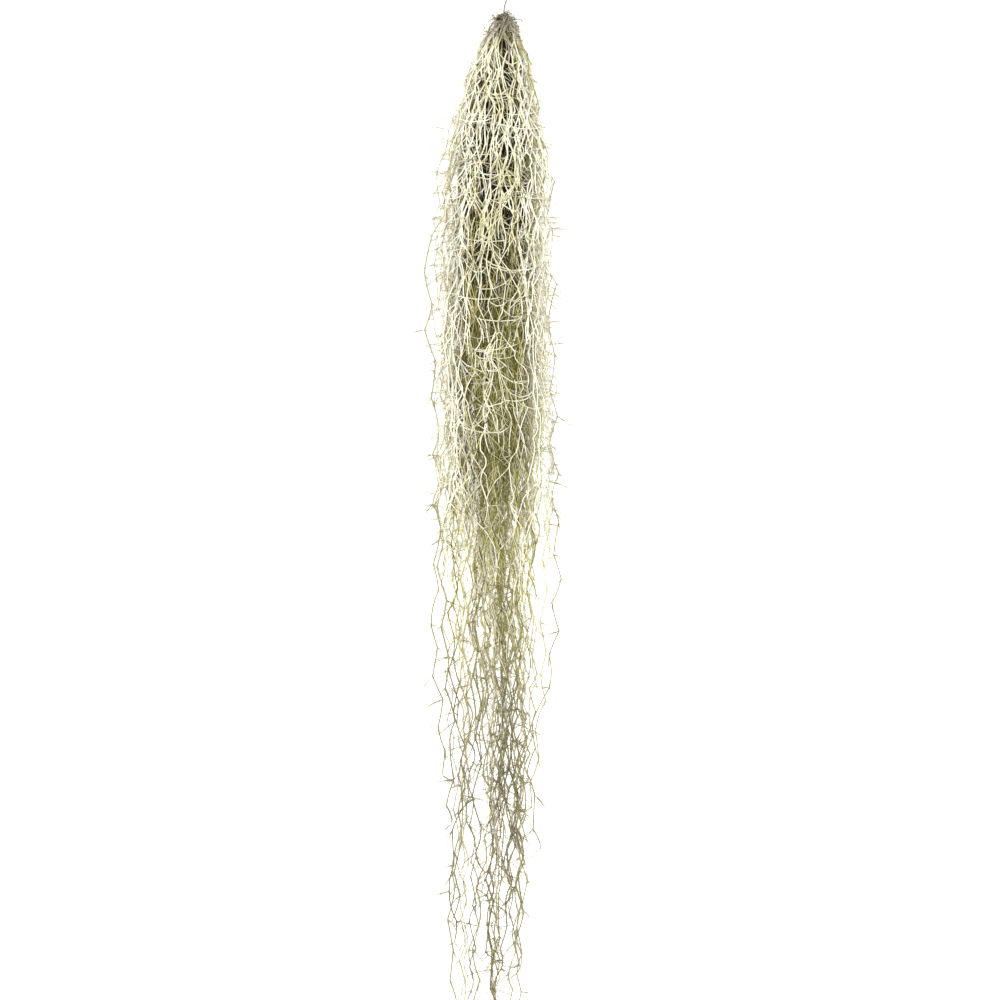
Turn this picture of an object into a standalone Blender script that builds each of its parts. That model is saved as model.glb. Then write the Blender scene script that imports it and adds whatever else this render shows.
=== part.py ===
"""A long bunch of Spanish moss laid on a table, its head bound with wire.

Spanish moss hangs in chains of wiry shoots. Each shoot bends at a joint, where thread-like leaves stand
out. Here the bunch lies down, head towards +Y. Ten locks of moss lie in three layers. Each lock has a
small ridged core of packed shoots, strands that run over it and on past its end, and leaves. A lock keeps
to its own lane of its own layer, so the locks lie against each other without crossing.

Lengths are in metres. A place along the bunch is its distance from the very top of the head.
"""

import math
from dataclasses import dataclass

import bmesh
import bpy
import numpy as np

# Driving dimensions of the whole bunch
HEAD_Y = 0.52
BODY_HALF_WIDTH = 0.074
TAIL_HALF_WIDTH = 0.054
NECK_HALF_WIDTH = 0.009
NECK_END = 0.016
FULL_WIDTH_FROM = 0.30
SHOULDER_POWER = 0.65
THINS_FROM = 0.78
THINS_TO = 1.12
NARROWS_TO = 1.45
HEAD_FLARE = 0.003
HEAD_FLARE_ENDS = 0.007

# Height of the lying bunch
BODY_HEIGHT = 0.060
NECK_HEIGHT = 0.0155
TAIL_HEIGHT = 0.0078
FULL_HEIGHT_FROM = 0.34
RISE_POWER = 0.72
SLOPES_FROM = 0.48
SLOPES_TO = 1.14
NECK_LIFT_ENDS = 0.085

# Sideways drift of the middle of the bunch
HEAD_SHIFT = 0.016
HEAD_SHIFT_FADES = 0.16
TAIL_SHIFT = -0.010
TAIL_SHIFT_FROM = 0.9
TAIL_SHIFT_TO = 1.5

# Boundaries between the lanes: how far and how often they sway, and the room kept on each side of them
SPREAD_BY = 0.25
LANE_SWAY = 0.21
SWAY_LENGTH = 0.45
SWAY_STEP = 1.9
SWAY_FROM = 0.08
SWAY_TO = 0.30
NECK_ROOM = 0.00018
BODY_ROOM = 0.0007
SIDE_MARGIN = 0.003
LEVEL_MARGIN = 0.002

# Shoots and leaves
SHOOT_RADIUS = 0.00070
LEAF_RADIUS = 0.00055
NEEDLE_SIDES = 3
NEEDLE_SPACE = 1.4
SHOOT_LENGTH = 0.046
SHOOT_SHARES = (0.8, 1.25)
SHOOT_SWING = 0.0062
SWING_SHARES = (0.5, 1.2)
WANDER = 0.006
WANDER_TURNS = 9.0
STRAND_LEVELS = (0.25, 0.8)
STRAND_SIDES = (-0.7, 0.7)
LEAF_LENGTH = 0.040
LEAF_SHARES = (0.7, 1.15)
LEAF_ROOT_RADIUS = 0.0002
LEAF_EVERY = 2
ROOT_SHARE = 0.5
SIDE_REACH = 0.84
PROUD_OF_CORE = 0.0018
HEAD_LEAVES = 4
HEAD_LEAF_LENGTH = 0.026
HEAD_LEAF_PLACES = (0.0028, 0.0045)

# Cores of packed shoots
CORE_STATIONS = (0.002, 0.009, 0.016, 0.028, 0.046, 0.072, 0.104, 0.138, 0.176)
STATION_STEP = 0.058
NECK_FILL = 0.97
CORE_FILL = 0.80
CORE_FILL_FROM = 0.12
CORE_TAPER = 0.30
WISP_SHARE = 0.12
GROOVE = 0.26
GROOVE_FROM = 0.016
GROOVE_FULL = 0.10
TWIST_PER_METRE = 9.0
FLAT_BELOW_SINE = -0.3

# Binding wire
WIRE_RADIUS = 0.0006
WIRE_TURNS = 3
WIRE_MIDDLE = 0.0102
WIRE_PITCH = 0.0016
WIRE_CLEARANCE = 0.0005
WIRE_SQUARENESS = 3.0
WIRE_TAIL = 0.030
WIRE_TAIL_DROP = 0.007
WIRE_STEPS = 16
WIRE_TAIL_ASIDE = 0.006
WIRE_TAIL_PLACES = (0.12, 0.3, 0.5, 0.75, 1.0)
WIRE_SIDES_RESOLUTION = 0

MERGE = 0.000005

MOSS_OUTER = ((0.60, 0.59, 0.38), 0.85, 0.0)
MOSS_INNER = ((0.36, 0.35, 0.20), 0.90, 0.0)
DARK_STEEL = ((0.10, 0.10, 0.12), 0.45, 0.9)


def smooth(value, start, end):
    """0 before start, 1 after end, and an even curve between."""
    share = min(1.0, max(0.0, (value - start) / (end - start)))
    return share * share * (3.0 - 2.0 * share)


def swell(along, full_from, power):
    """0 at the neck, rising like the shoulder of a hanging bunch to 1."""
    share = min(1.0, max(0.0, (along - NECK_END) / (full_from - NECK_END)))
    return math.sin(0.5 * math.pi * share**power)


def half_width(along):
    """Half the width of the bunch, without the leaves that stand out of it."""
    body = BODY_HALF_WIDTH + (TAIL_HALF_WIDTH - BODY_HALF_WIDTH) * smooth(along, THINS_FROM, NARROWS_TO)
    flare = HEAD_FLARE * (1.0 - smooth(along, 0.0, HEAD_FLARE_ENDS))
    spread = swell(along, FULL_WIDTH_FROM, SHOULDER_POWER)
    return NECK_HALF_WIDTH + (body - NECK_HALF_WIDTH) * spread + flare


def height(along):
    """Height of the bunch over its own underside."""
    body = BODY_HEIGHT + (TAIL_HEIGHT - BODY_HEIGHT) * smooth(along, SLOPES_FROM, SLOPES_TO)
    return NECK_HEIGHT + (body - NECK_HEIGHT) * swell(along, FULL_HEIGHT_FROM, RISE_POWER)


def underside(along):
    """The neck lies on the wire turns under it, and the rest of the bunch on the table."""
    lift = 2.0 * WIRE_RADIUS + WIRE_CLEARANCE
    return lift * (1.0 - smooth(along, NECK_END, NECK_LIFT_ENDS))


def middle(along):
    """Sideways place of the middle of the bunch."""
    tail = TAIL_SHIFT * smooth(along, TAIL_SHIFT_FROM, TAIL_SHIFT_TO)
    return HEAD_SHIFT * math.exp(-along / HEAD_SHIFT_FADES) + tail


def room(along):
    """Room that a lock keeps to the boundary of its lane."""
    return NECK_ROOM + (BODY_ROOM - NECK_ROOM) * smooth(along, NECK_END, SPREAD_BY)


def held_in(value, edge, side, margin):
    """value bent smoothly so that it stays on the inner side of edge. side is +1 for an upper edge."""
    inside = (edge - value) * side
    if inside >= margin:
        return value
    return edge - side * margin * math.exp((inside - margin) / margin)


@dataclass(frozen=True)
class Layer:
    """One of the three layers of locks, from the table up."""

    name: str
    lanes: int
    low: float
    high: float
    width: float
    neck_width: float
    phase: float


@dataclass(frozen=True)
class Lane:
    """The space that one lock keeps to: a strip of one layer."""

    layer: Layer
    number: int
    seed: int

    @property
    def leftmost(self):
        return self.number == 0

    @property
    def rightmost(self):
        return self.number == self.layer.lanes - 1

    def edge(self, index, along):
        """Sideways place of the lane boundary with that index."""
        layer = self.layer
        share = layer.neck_width + (layer.width - layer.neck_width) * smooth(along, NECK_END, SPREAD_BY)
        share += (1.0 - layer.width) * smooth(along, THINS_FROM, THINS_TO)
        place = -1.0 + 2.0 * index / layer.lanes
        if 0 < index < layer.lanes:
            turn = 2.0 * math.pi * along / SWAY_LENGTH + layer.phase + SWAY_STEP * index
            place += LANE_SWAY * math.sin(turn) / layer.lanes * smooth(along, SWAY_FROM, SWAY_TO)
        return middle(along) + half_width(along) * share * place

    def sides(self, along):
        return (
            self.edge(self.number, along) + room(along),
            self.edge(self.number + 1, along) - room(along),
        )

    def levels(self, along):
        base = underside(along)
        low = base + height(along) * self.layer.low
        high = base + height(along) * self.layer.high
        return (low + (room(along) if self.layer.low > 0 else 0.0), high - room(along))

    def centre(self, along):
        left, right = self.sides(along)
        low, high = self.levels(along)
        return np.array([0.5 * (left + right), HEAD_Y - along, 0.5 * (low + high)])

    def bend_clear(self, point, radius):
        """The point moved, if need be, to where a needle of that radius stays in this lane."""
        x, y, z = point
        radius *= NEEDLE_SPACE
        along = HEAD_Y - y
        left, right = self.sides(along)
        low, high = self.levels(along)
        margin = min(SIDE_MARGIN, (right - left) / 5.0)
        if not self.leftmost:
            x = held_in(x, left + radius, -1, margin)
        if not self.rightmost:
            x = held_in(x, right - radius, 1, margin)
        margin = min(LEVEL_MARGIN, (high - low) / 5.0)
        z = held_in(z, low + radius, -1, margin)
        if self.layer.high < 1.0:
            z = held_in(z, high - radius, 1, margin)
        return np.array([x, y, z])


LAYERS = (
    Layer("under", 3, 0.0, 0.36, 1.0, 0.74, 0.4),
    Layer("middle", 4, 0.36, 0.69, 0.87, 1.0, 2.1),
    Layer("upper", 3, 0.69, 1.0, 0.64, 0.72, 4.0),
)


@dataclass(frozen=True)
class Core:
    """The packed middle of a lock: a rope with ridges that wind slowly round it."""

    lane: Lane
    end: float
    ridges: int

    @property
    def flat(self):
        """The locks of the lowest layer lie on the table."""
        return self.lane.layer.low == 0.0

    def stations(self):
        """Places of the rings, the same for all locks, so that neighbours stay parallel."""
        last = CORE_STATIONS[-1]
        steps = int((self.end - last) / STATION_STEP)
        return [*CORE_STATIONS, *(last + STATION_STEP * (n + 1) for n in range(steps))]

    def half_sizes(self, along):
        """Half the width and half the height of the core, which thins to a wisp at its end."""
        left, right = self.lane.sides(along)
        low, high = self.lane.levels(along)
        fade = 1.0 - smooth(along, self.end - CORE_TAPER, self.end)
        fill = NECK_FILL + (CORE_FILL - NECK_FILL) * smooth(along, NECK_END, CORE_FILL_FROM)
        fill *= WISP_SHARE + (1.0 - WISP_SHARE) * fade
        return 0.5 * (right - left) * fill, 0.5 * (high - low) * fill

    def point(self, along, turn, share=1.0):
        """A point at an angle turn from the +X side, that share of the way from the axis to the skin."""
        wide, tall = self.half_sizes(along)
        x, y, z = self.lane.centre(along)
        if self.flat:
            z = self.lane.levels(along)[0] + tall
        return np.array([x + wide * share * math.cos(turn), y, z + tall * share * math.sin(turn)])

    def top_over(self, along, x):
        """Height of the core's skin over the place x, or of its axis where x is beside the core."""
        wide, tall = self.half_sizes(along)
        centre = self.lane.centre(along)
        across = min(1.0, abs(x - centre[0]) / wide)
        return centre[2] + tall * math.sqrt(1.0 - across**2)

    def ring(self, along):
        """The ridged outline at one station. The lowest layer's has a flat underside."""
        corners = 2 * self.ridges
        wind = 0.0 if self.flat else TWIST_PER_METRE * along + self.lane.seed
        groove = GROOVE * smooth(along, GROOVE_FROM, GROOVE_FULL)
        flatness = smooth(along, NECK_END, NECK_LIFT_ENDS)
        points = []
        for corner in range(corners):
            turn = 2.0 * math.pi * (corner + 0.5) / corners + wind
            point = self.point(along, turn, 1.0 - groove * (corner % 2))
            if self.flat and math.sin(turn) < FLAT_BELOW_SINE:
                point[2] += (self.lane.levels(along)[0] - point[2]) * flatness
            points.append(point)
        return points

    def build(self, name):
        """A loft through the rings, closed at both ends."""
        mesh = bmesh.new()
        rings = [[mesh.verts.new(p) for p in self.ring(along)] for along in self.stations()]
        for upper, lower in zip(rings, rings[1:], strict=False):
            for corner, point in enumerate(upper):
                following = (corner + 1) % len(upper)
                mesh.faces.new((point, upper[following], lower[following], lower[corner]))
        mesh.faces.new(list(reversed(rings[0])))
        mesh.faces.new(rings[-1])
        bmesh.ops.recalc_face_normals(mesh, faces=mesh.faces)
        return object_from(mesh, name)


def object_from(mesh, name):
    """A new object from a bmesh, linked to the scene's collection."""
    data = bpy.data.meshes.new(name)
    mesh.to_mesh(data)
    mesh.free()
    made = bpy.data.objects.new(name, data)
    bpy.context.scene.collection.objects.link(made)
    return made


def finish(name, values):
    """A Principled material from a colour, a roughness and a metallic value."""
    colour, roughness, metallic = values
    material = bpy.data.materials.new(name)
    material.use_nodes = True
    shader = material.node_tree.nodes["Principled BSDF"]
    shader.inputs["Base Color"].default_value = (*colour, 1.0)
    shader.inputs["Roughness"].default_value = roughness
    shader.inputs["Metallic"].default_value = metallic
    return material


def needle_profile():
    """The three-sided cross-section that every shoot and leaf shares, one unit in radius."""
    data = bpy.data.curves.new("needle_profile", "CURVE")
    data.dimensions = "2D"
    spline = data.splines.new("POLY")
    spline.points.add(NEEDLE_SIDES - 1)
    for number, point in enumerate(spline.points):
        turn = -2.0 * math.pi * number / NEEDLE_SIDES
        point.co = (math.cos(turn), math.sin(turn), 0.0, 1.0)
    spline.use_cyclic_u = True
    profile = bpy.data.objects.new("needle_profile", data)
    profile.hide_render = True
    profile.display_type = "WIRE"
    bpy.context.scene.collection.objects.link(profile)
    return profile


def needle(points, radii, profile):
    """A shoot or a leaf: a thin faceted tube along the points."""
    data = bpy.data.curves.new("needle", "CURVE")
    data.dimensions = "3D"
    data.bevel_mode = "OBJECT"
    data.bevel_object = profile
    data.use_fill_caps = True
    spline = data.splines.new("POLY")
    spline.points.add(len(points) - 1)
    for knot, place, radius in zip(spline.points, points, radii, strict=True):
        knot.co = (*place, 1.0)
        knot.radius = radius
    made = bpy.data.objects.new("needle", data)
    bpy.context.scene.collection.objects.link(made)
    return made


def meshes_of(curves):
    """The curve objects remade as closed meshes, with their caps welded on."""
    bpy.context.view_layer.update()
    graph = bpy.context.evaluated_depsgraph_get()
    made = []
    for curve in curves:
        data = bpy.data.meshes.new_from_object(curve.evaluated_get(graph))
        welded = bmesh.new()
        welded.from_mesh(data)
        bmesh.ops.remove_doubles(welded, verts=welded.verts, dist=MERGE)
        bmesh.ops.recalc_face_normals(welded, faces=welded.faces)
        welded.to_mesh(data)
        welded.free()
        solid = bpy.data.objects.new(curve.name, data)
        solid.matrix_world = curve.matrix_world
        made.append(solid)
    for curve in curves:
        bpy.data.objects.remove(curve)
    return made


def fuse(core, pieces):
    """The core and its needles joined into one solid."""
    loose = bpy.data.collections.new("loose")
    bpy.context.scene.collection.children.link(loose)
    for piece in pieces:
        loose.objects.link(piece)
    union = core.modifiers.new("union", "BOOLEAN")
    union.operation = "UNION"
    union.operand_type = "COLLECTION"
    union.collection = loose
    union.solver = "MANIFOLD"
    bpy.context.view_layer.update()
    joined = bpy.data.meshes.new_from_object(core.evaluated_get(bpy.context.evaluated_depsgraph_get()))
    core.modifiers.clear()
    core.data = joined
    for piece in pieces:
        bpy.data.objects.remove(piece)
    bpy.data.collections.remove(loose)


def shoot_chain(core, start, root, end, side, draw):
    """The joints of one strand: it leaves the core at start and zigzags down to end.

    root is the point inside the core where it grows from, and side how far across the lane it lies,
    from -1 to 1, or beyond for an outer lane. A strand of the upper layer runs over its core.
    """
    lane = core.lane
    joints = [root]
    along = start
    swing = draw.choice([-1.0, 1.0])
    wander = draw.uniform(0.0, 2.0 * math.pi)
    while along < end:
        along += SHOOT_LENGTH * draw.uniform(*SHOOT_SHARES)
        left, right = lane.sides(along)
        low, high = lane.levels(along)
        x = 0.5 * (left + right) + 0.5 * (right - left) * side
        x += WANDER * math.sin(WANDER_TURNS * along + wander)
        x += swing * SHOOT_SWING * draw.uniform(*SWING_SHARES)
        z = low + (high - low) * draw.uniform(*STRAND_LEVELS)
        if lane.layer.high == 1.0:
            z = max(z, core.top_over(along, x) + PROUD_OF_CORE)
        joints.append(lane.bend_clear((x, HEAD_Y - min(along, end), z), SHOOT_RADIUS))
        swing = -swing
    return joints


def leaf_path(lane, base, outward, draw, length=LEAF_LENGTH):
    """A leaf from base: out along outward and curving down the strand, in two straight pieces."""
    reach = length * draw.uniform(*LEAF_SHARES)
    out = np.array(outward) / np.linalg.norm(outward)
    down = np.array([0.0, -1.0, 0.0])
    heading = out + down * draw.uniform(0.3, 1.1)
    heading /= np.linalg.norm(heading)
    bow = heading + down * draw.uniform(-0.35, 0.9) + np.array([0.0, 0.0, draw.uniform(-0.3, 0.25)])
    bow /= np.linalg.norm(bow)
    knee = base + heading * reach * 0.5
    tip = knee + bow * reach * 0.5
    return [base, lane.bend_clear(knee, LEAF_RADIUS), lane.bend_clear(tip, LEAF_RADIUS)]


def outward_at(lane, draw):
    """A way out of the lock that its lane leaves free."""
    lift = 1.0 if lane.layer.high == 1.0 else 0.25
    if lane.leftmost and (not lane.rightmost) and draw.uniform() < 0.75:
        turn = math.pi - draw.uniform(-0.2, 0.9) * lift
    elif lane.rightmost and draw.uniform() < 0.75:
        turn = draw.uniform(-0.2, 0.9) * lift
    elif lane.layer.high == 1.0:
        turn = draw.uniform(0.15, math.pi - 0.15)
    else:
        turn = draw.choice([0.0, math.pi]) + draw.uniform(-0.3, 0.3)
    return np.array([math.cos(turn), 0.0, math.sin(turn)]), turn


def leaf_radii():
    return (LEAF_ROOT_RADIUS, LEAF_RADIUS, 0.0)


@dataclass(frozen=True)
class Lock:
    """One lock of moss, which becomes one node."""

    lane: Lane
    core: Core
    strand_ends: tuple
    body_leaves: int

    @property
    def name(self):
        return f"{self.lane.layer.name}_lock_{self.lane.number + 1}"

    def strands(self):
        """Each strand as its list of joints."""
        draw = np.random.default_rng(self.lane.seed)
        chains = []
        for number, end in enumerate(self.strand_ends):
            outer = (self.lane.leftmost or self.lane.rightmost) and number == 0
            start = draw.uniform(0.26, 0.36) if outer else self.core.end - draw.uniform(0.30, 0.36)
            side = draw.uniform(*STRAND_SIDES)
            turn = draw.uniform(0.3, math.pi - 0.3)
            if self.lane.layer.high == 1.0:
                start = UPPER_STARTS[number] + draw.uniform(0.0, 0.05)
            elif outer:
                turn = math.pi if self.lane.leftmost else 0.0
                side = (1.0 + SIDE_REACH) * math.cos(turn)
            root = self.core.point(start, turn, ROOT_SHARE)
            chains.append(shoot_chain(self.core, start, root, end, side, draw))
        return chains

    def needles(self, profile):
        """All strands and leaves as loose curve objects."""
        made = []
        draw = np.random.default_rng(self.lane.seed + 500)
        for joints in self.strands():
            radii = [SHOOT_RADIUS] * (len(joints) - 1) + [0.0]
            made.append(needle(joints, radii, profile))
            for joint in joints[1:-1:LEAF_EVERY]:
                side = draw.choice([-1.0, 1.0])
                outward = (side, 0.0, draw.uniform(-0.2, 0.7))
                made.append(needle(leaf_path(self.lane, joint, outward, draw), leaf_radii(), profile))
        for number in range(self.body_leaves):
            share = (number + draw.uniform(0.1, 0.9)) / self.body_leaves
            along = 0.045 + (self.core.end - 0.14) * share
            outward, turn = outward_at(self.lane, draw)
            base = self.core.point(along, turn, ROOT_SHARE)
            made.append(needle(leaf_path(self.lane, base, outward, draw), leaf_radii(), profile))
        made += self.head_tuft(profile, draw)
        return made

    def head_tuft(self, profile, draw):
        """Short leaves that curl out round the very top, from the locks on the outside of the bunch."""
        made = []
        if not (self.lane.leftmost or self.lane.rightmost):
            return made
        for _ in range(HEAD_LEAVES):
            side = -1.0 if self.lane.leftmost else 1.0
            outward = (side, draw.uniform(0.2, 0.9), draw.uniform(-0.1, 0.9))
            turn = math.atan2(outward[2], side)
            base = self.core.point(draw.uniform(*HEAD_LEAF_PLACES), turn, ROOT_SHARE)
            path = leaf_path(self.lane, base, outward, draw, HEAD_LEAF_LENGTH)
            made.append(needle(path, leaf_radii(), profile))
        return made

    def build(self, profile, materials):
        core = self.core.build(self.name)
        fuse(core, meshes_of(self.needles(profile)))
        core.data.materials.clear()
        core.data.materials.append(materials[self.lane.layer.name])
        return core


# How far each strand reaches, lock by lock, from the table up and from left to right
STRAND_ENDS = {
    "under": ((1.18, 1.46, 1.10), (1.64, 1.52, 1.22), (1.30, 1.36, 1.16)),
    "middle": ((1.26, 1.56), (1.65, 1.34), (1.60, 1.48), (1.24, 1.40)),
    "upper": ((1.12, 1.42, 0.96), (1.58, 1.20, 1.06), (1.28, 1.50, 0.98)),
}
UPPER_STARTS = (0.05, 0.17, 0.32)
CORE_ENDS = {
    "under": (0.99, 1.08, 0.94),
    "middle": (0.94, 1.13, 1.08, 0.90),
    "upper": (0.84, 1.03, 0.90),
}
BODY_LEAVES = {"under": 12, "middle": 14, "upper": 20}
CORE_RIDGES = {"under": 4, "middle": 4, "upper": 5}


def locks():
    """The ten locks of the bunch."""
    made = []
    for layer in LAYERS:
        for number in range(layer.lanes):
            lane = Lane(layer, number, 11 + len(made))
            inner = layer.high < 1.0 and 0 < number < layer.lanes - 1
            made.append(
                Lock(
                    lane,
                    Core(lane, CORE_ENDS[layer.name][number], CORE_RIDGES[layer.name]),
                    STRAND_ENDS[layer.name][number],
                    0 if inner else BODY_LEAVES[layer.name],
                )
            )
    return made


def tie_wire_path():
    """Turns round the neck, then a short tail that runs on past the head and sinks towards the table."""
    centre_z = underside(WIRE_MIDDLE) + 0.5 * height(WIRE_MIDDLE)
    clear = WIRE_CLEARANCE + WIRE_RADIUS
    wide = half_width(WIRE_MIDDLE) + clear
    tall = 0.5 * height(WIRE_MIDDLE) + clear
    centre_x = middle(WIRE_MIDDLE)
    points = []
    for step in range(WIRE_TURNS * WIRE_STEPS + 1):
        turn = 0.5 * math.pi + 2.0 * math.pi * step / WIRE_STEPS
        back = WIRE_MIDDLE + WIRE_PITCH * (WIRE_TURNS / 2.0 - step / WIRE_STEPS)
        across, up = math.cos(turn), math.sin(turn)
        squared = (abs(across) ** WIRE_SQUARENESS + abs(up) ** WIRE_SQUARENESS) ** (-1.0 / WIRE_SQUARENESS)
        points.append((centre_x + wide * across * squared, HEAD_Y - back, centre_z + tall * up * squared))
    x, y, z = points[-1]
    for share in WIRE_TAIL_PLACES:
        drop = WIRE_TAIL_DROP * smooth(share, 0.45, 1.0)
        points.append((x + WIRE_TAIL_ASIDE * share**2, y + WIRE_TAIL * share, z - drop))
    return points


def tie_wire():
    """The dark wire that binds the head."""
    data = bpy.data.curves.new("tie_wire", "CURVE")
    data.dimensions = "3D"
    data.bevel_depth = WIRE_RADIUS
    data.bevel_resolution = WIRE_SIDES_RESOLUTION
    data.use_fill_caps = True
    points = tie_wire_path()
    spline = data.splines.new("POLY")
    spline.points.add(len(points) - 1)
    for knot, place in zip(spline.points, points, strict=True):
        knot.co = (*place, 1.0)
    data.materials.append(finish("dark steel wire", DARK_STEEL))
    made = bpy.data.objects.new("tie_wire", data)
    bpy.context.scene.collection.objects.link(made)
    return made


def main():
    for old in list(bpy.data.objects):
        bpy.data.objects.remove(old)
    outer = finish("moss, weathered outside", MOSS_OUTER)
    inner = finish("moss, shaded inside", MOSS_INNER)
    materials = {"under": inner, "middle": outer, "upper": outer}
    bunch = bpy.data.collections.new("spanish_moss_bunch")
    bpy.context.scene.collection.children.link(bunch)
    profile = needle_profile()
    made = [lock.build(profile, materials) for lock in locks()]
    made.append(tie_wire())
    for piece in made:
        bpy.context.scene.collection.objects.unlink(piece)
        bunch.objects.link(piece)


main()
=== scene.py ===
"""The looks of a long bunch of Spanish moss that lies on a table, its head bound with dark wire.

Spanish moss has no roots and no stem of its own. It is a chain of wiry shoots: each shoot bends at a joint, and
two to four thread-like leaves stand out there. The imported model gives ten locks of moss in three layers. Each lock
gets two finer pieces here, its shoots and its leaves, drawn by two Geometry Nodes trees from one set of guide
lines. Lengths are in metres. A place along the bunch is its distance from the very top of the head.
"""

from __future__ import annotations

import logging
import math
from dataclasses import dataclass, field
from enum import Enum

import bpy
import numpy as np
from bpy.types import ID, Material, Mesh, Node, NodeSocket, NodeTree, Object
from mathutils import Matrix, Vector
from numpy.random import Generator

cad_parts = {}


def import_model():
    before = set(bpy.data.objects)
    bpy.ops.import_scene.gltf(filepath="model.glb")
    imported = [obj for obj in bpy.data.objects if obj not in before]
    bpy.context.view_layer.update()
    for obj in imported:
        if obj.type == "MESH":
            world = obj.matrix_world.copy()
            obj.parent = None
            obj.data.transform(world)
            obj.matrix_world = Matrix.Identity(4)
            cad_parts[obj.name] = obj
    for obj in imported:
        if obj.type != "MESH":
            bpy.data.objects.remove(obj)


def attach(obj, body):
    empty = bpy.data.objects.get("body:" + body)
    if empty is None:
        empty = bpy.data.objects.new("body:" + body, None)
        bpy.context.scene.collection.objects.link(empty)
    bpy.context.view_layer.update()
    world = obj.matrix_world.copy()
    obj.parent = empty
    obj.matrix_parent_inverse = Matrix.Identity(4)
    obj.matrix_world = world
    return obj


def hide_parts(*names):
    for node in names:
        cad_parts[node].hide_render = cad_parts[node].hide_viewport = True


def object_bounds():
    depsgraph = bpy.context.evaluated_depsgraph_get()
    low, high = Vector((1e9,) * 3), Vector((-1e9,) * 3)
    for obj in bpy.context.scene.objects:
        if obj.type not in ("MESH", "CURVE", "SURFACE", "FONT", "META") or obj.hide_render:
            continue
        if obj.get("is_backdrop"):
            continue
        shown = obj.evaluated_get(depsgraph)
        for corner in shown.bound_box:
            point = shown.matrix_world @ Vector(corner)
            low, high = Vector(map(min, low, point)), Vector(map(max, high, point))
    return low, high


LOG = logging.getLogger("spanish_moss")
BODY = "root"

Amount = float | np.ndarray
Span = tuple[float, float]
Point = tuple[float, float, float]
Chain = list[np.ndarray]


def linear(colour: str) -> tuple[float, float, float, float]:
    """Turns an sRGB hex colour into linear RGBA.

    Args:
        colour: six hex digits, with or without a leading #.

    Returns:
        Red, green and blue as linear values, and an alpha of 1.
    """
    digits = colour.lstrip("#")
    values = [int(digits[i : i + 2], 16) / 255.0 for i in (0, 2, 4)]
    return (*(v / 12.92 if v <= 0.04045 else ((v + 0.055) / 1.055) ** 2.4 for v in values), 1.0)


def set_inputs(node: Node, inputs: dict) -> None:
    """Gives inputs of a node their values and links.

    Args:
        node: the node.
        inputs: what each input gets, by name or number: a value, a socket, or a node for its first output.
    """
    for name, value in inputs.items():
        if isinstance(value, Node):
            value = next(output for output in value.outputs if output.enabled)
        if isinstance(value, NodeSocket):
            node.id_data.links.new(value, node.inputs[name])
        else:
            node.inputs[name].default_value = value


def add_node(tree: NodeTree, kind: str, inputs: dict | None = None, **settings: object) -> Node:
    """Adds a node to a tree.

    Args:
        tree: the node tree.
        kind: the node's Blender type name.
        inputs: what its inputs get, as in set_inputs.
        **settings: the node's own properties.

    Returns:
        The new node.
    """
    node = tree.nodes.new(kind)
    for name, value in settings.items():
        setattr(node, name, value)
    set_inputs(node, inputs or {})
    return node


def add_object(name: str, data: ID) -> Object:
    """Adds an object to the scene."""
    made = bpy.data.objects.new(name, data)
    bpy.context.scene.collection.objects.link(made)
    return made


def plain_copy(source: Object, name: str) -> Object:
    """Adds what an object evaluates to as a plain mesh.

    Args:
        source: an object at the origin, with or without modifiers.
        name: the new piece's name.

    Returns:
        The new piece.
    """
    bpy.context.view_layer.update()
    graph = bpy.context.evaluated_depsgraph_get()
    data = bpy.data.meshes.new_from_object(source.evaluated_get(graph))
    data.name = name
    return add_object(name, data)


def write_values(data: Mesh, label: str, values: np.ndarray) -> None:
    """Writes a number for each point of a mesh as an attribute."""
    layer = data.attributes.get(label) or data.attributes.new(label, "FLOAT", "POINT")
    layer.data.foreach_set("value", values.astype(np.float32))


def smooth(value: Amount, start: float, end: float) -> Amount:
    """Gives 0 before start, 1 after end, and an even curve between."""
    share = np.clip((value - start) / (end - start), 0.0, 1.0)
    return share * share * (3.0 - 2.0 * share)


def held_in(value: float, edge: float, side: int, margin: float) -> float:
    """Bends a value smoothly so that it stays on the inner side of an edge.

    Args:
        value: the place to keep in.
        edge: the limit.
        side: 1 for an upper limit and -1 for a lower one.
        margin: where the bend starts, short of the limit.

    Returns:
        The place, bent if it was near or past the limit.
    """
    inside = (edge - value) * side
    if inside >= margin:
        return value
    return edge - side * margin * math.exp((inside - margin) / margin)


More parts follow.
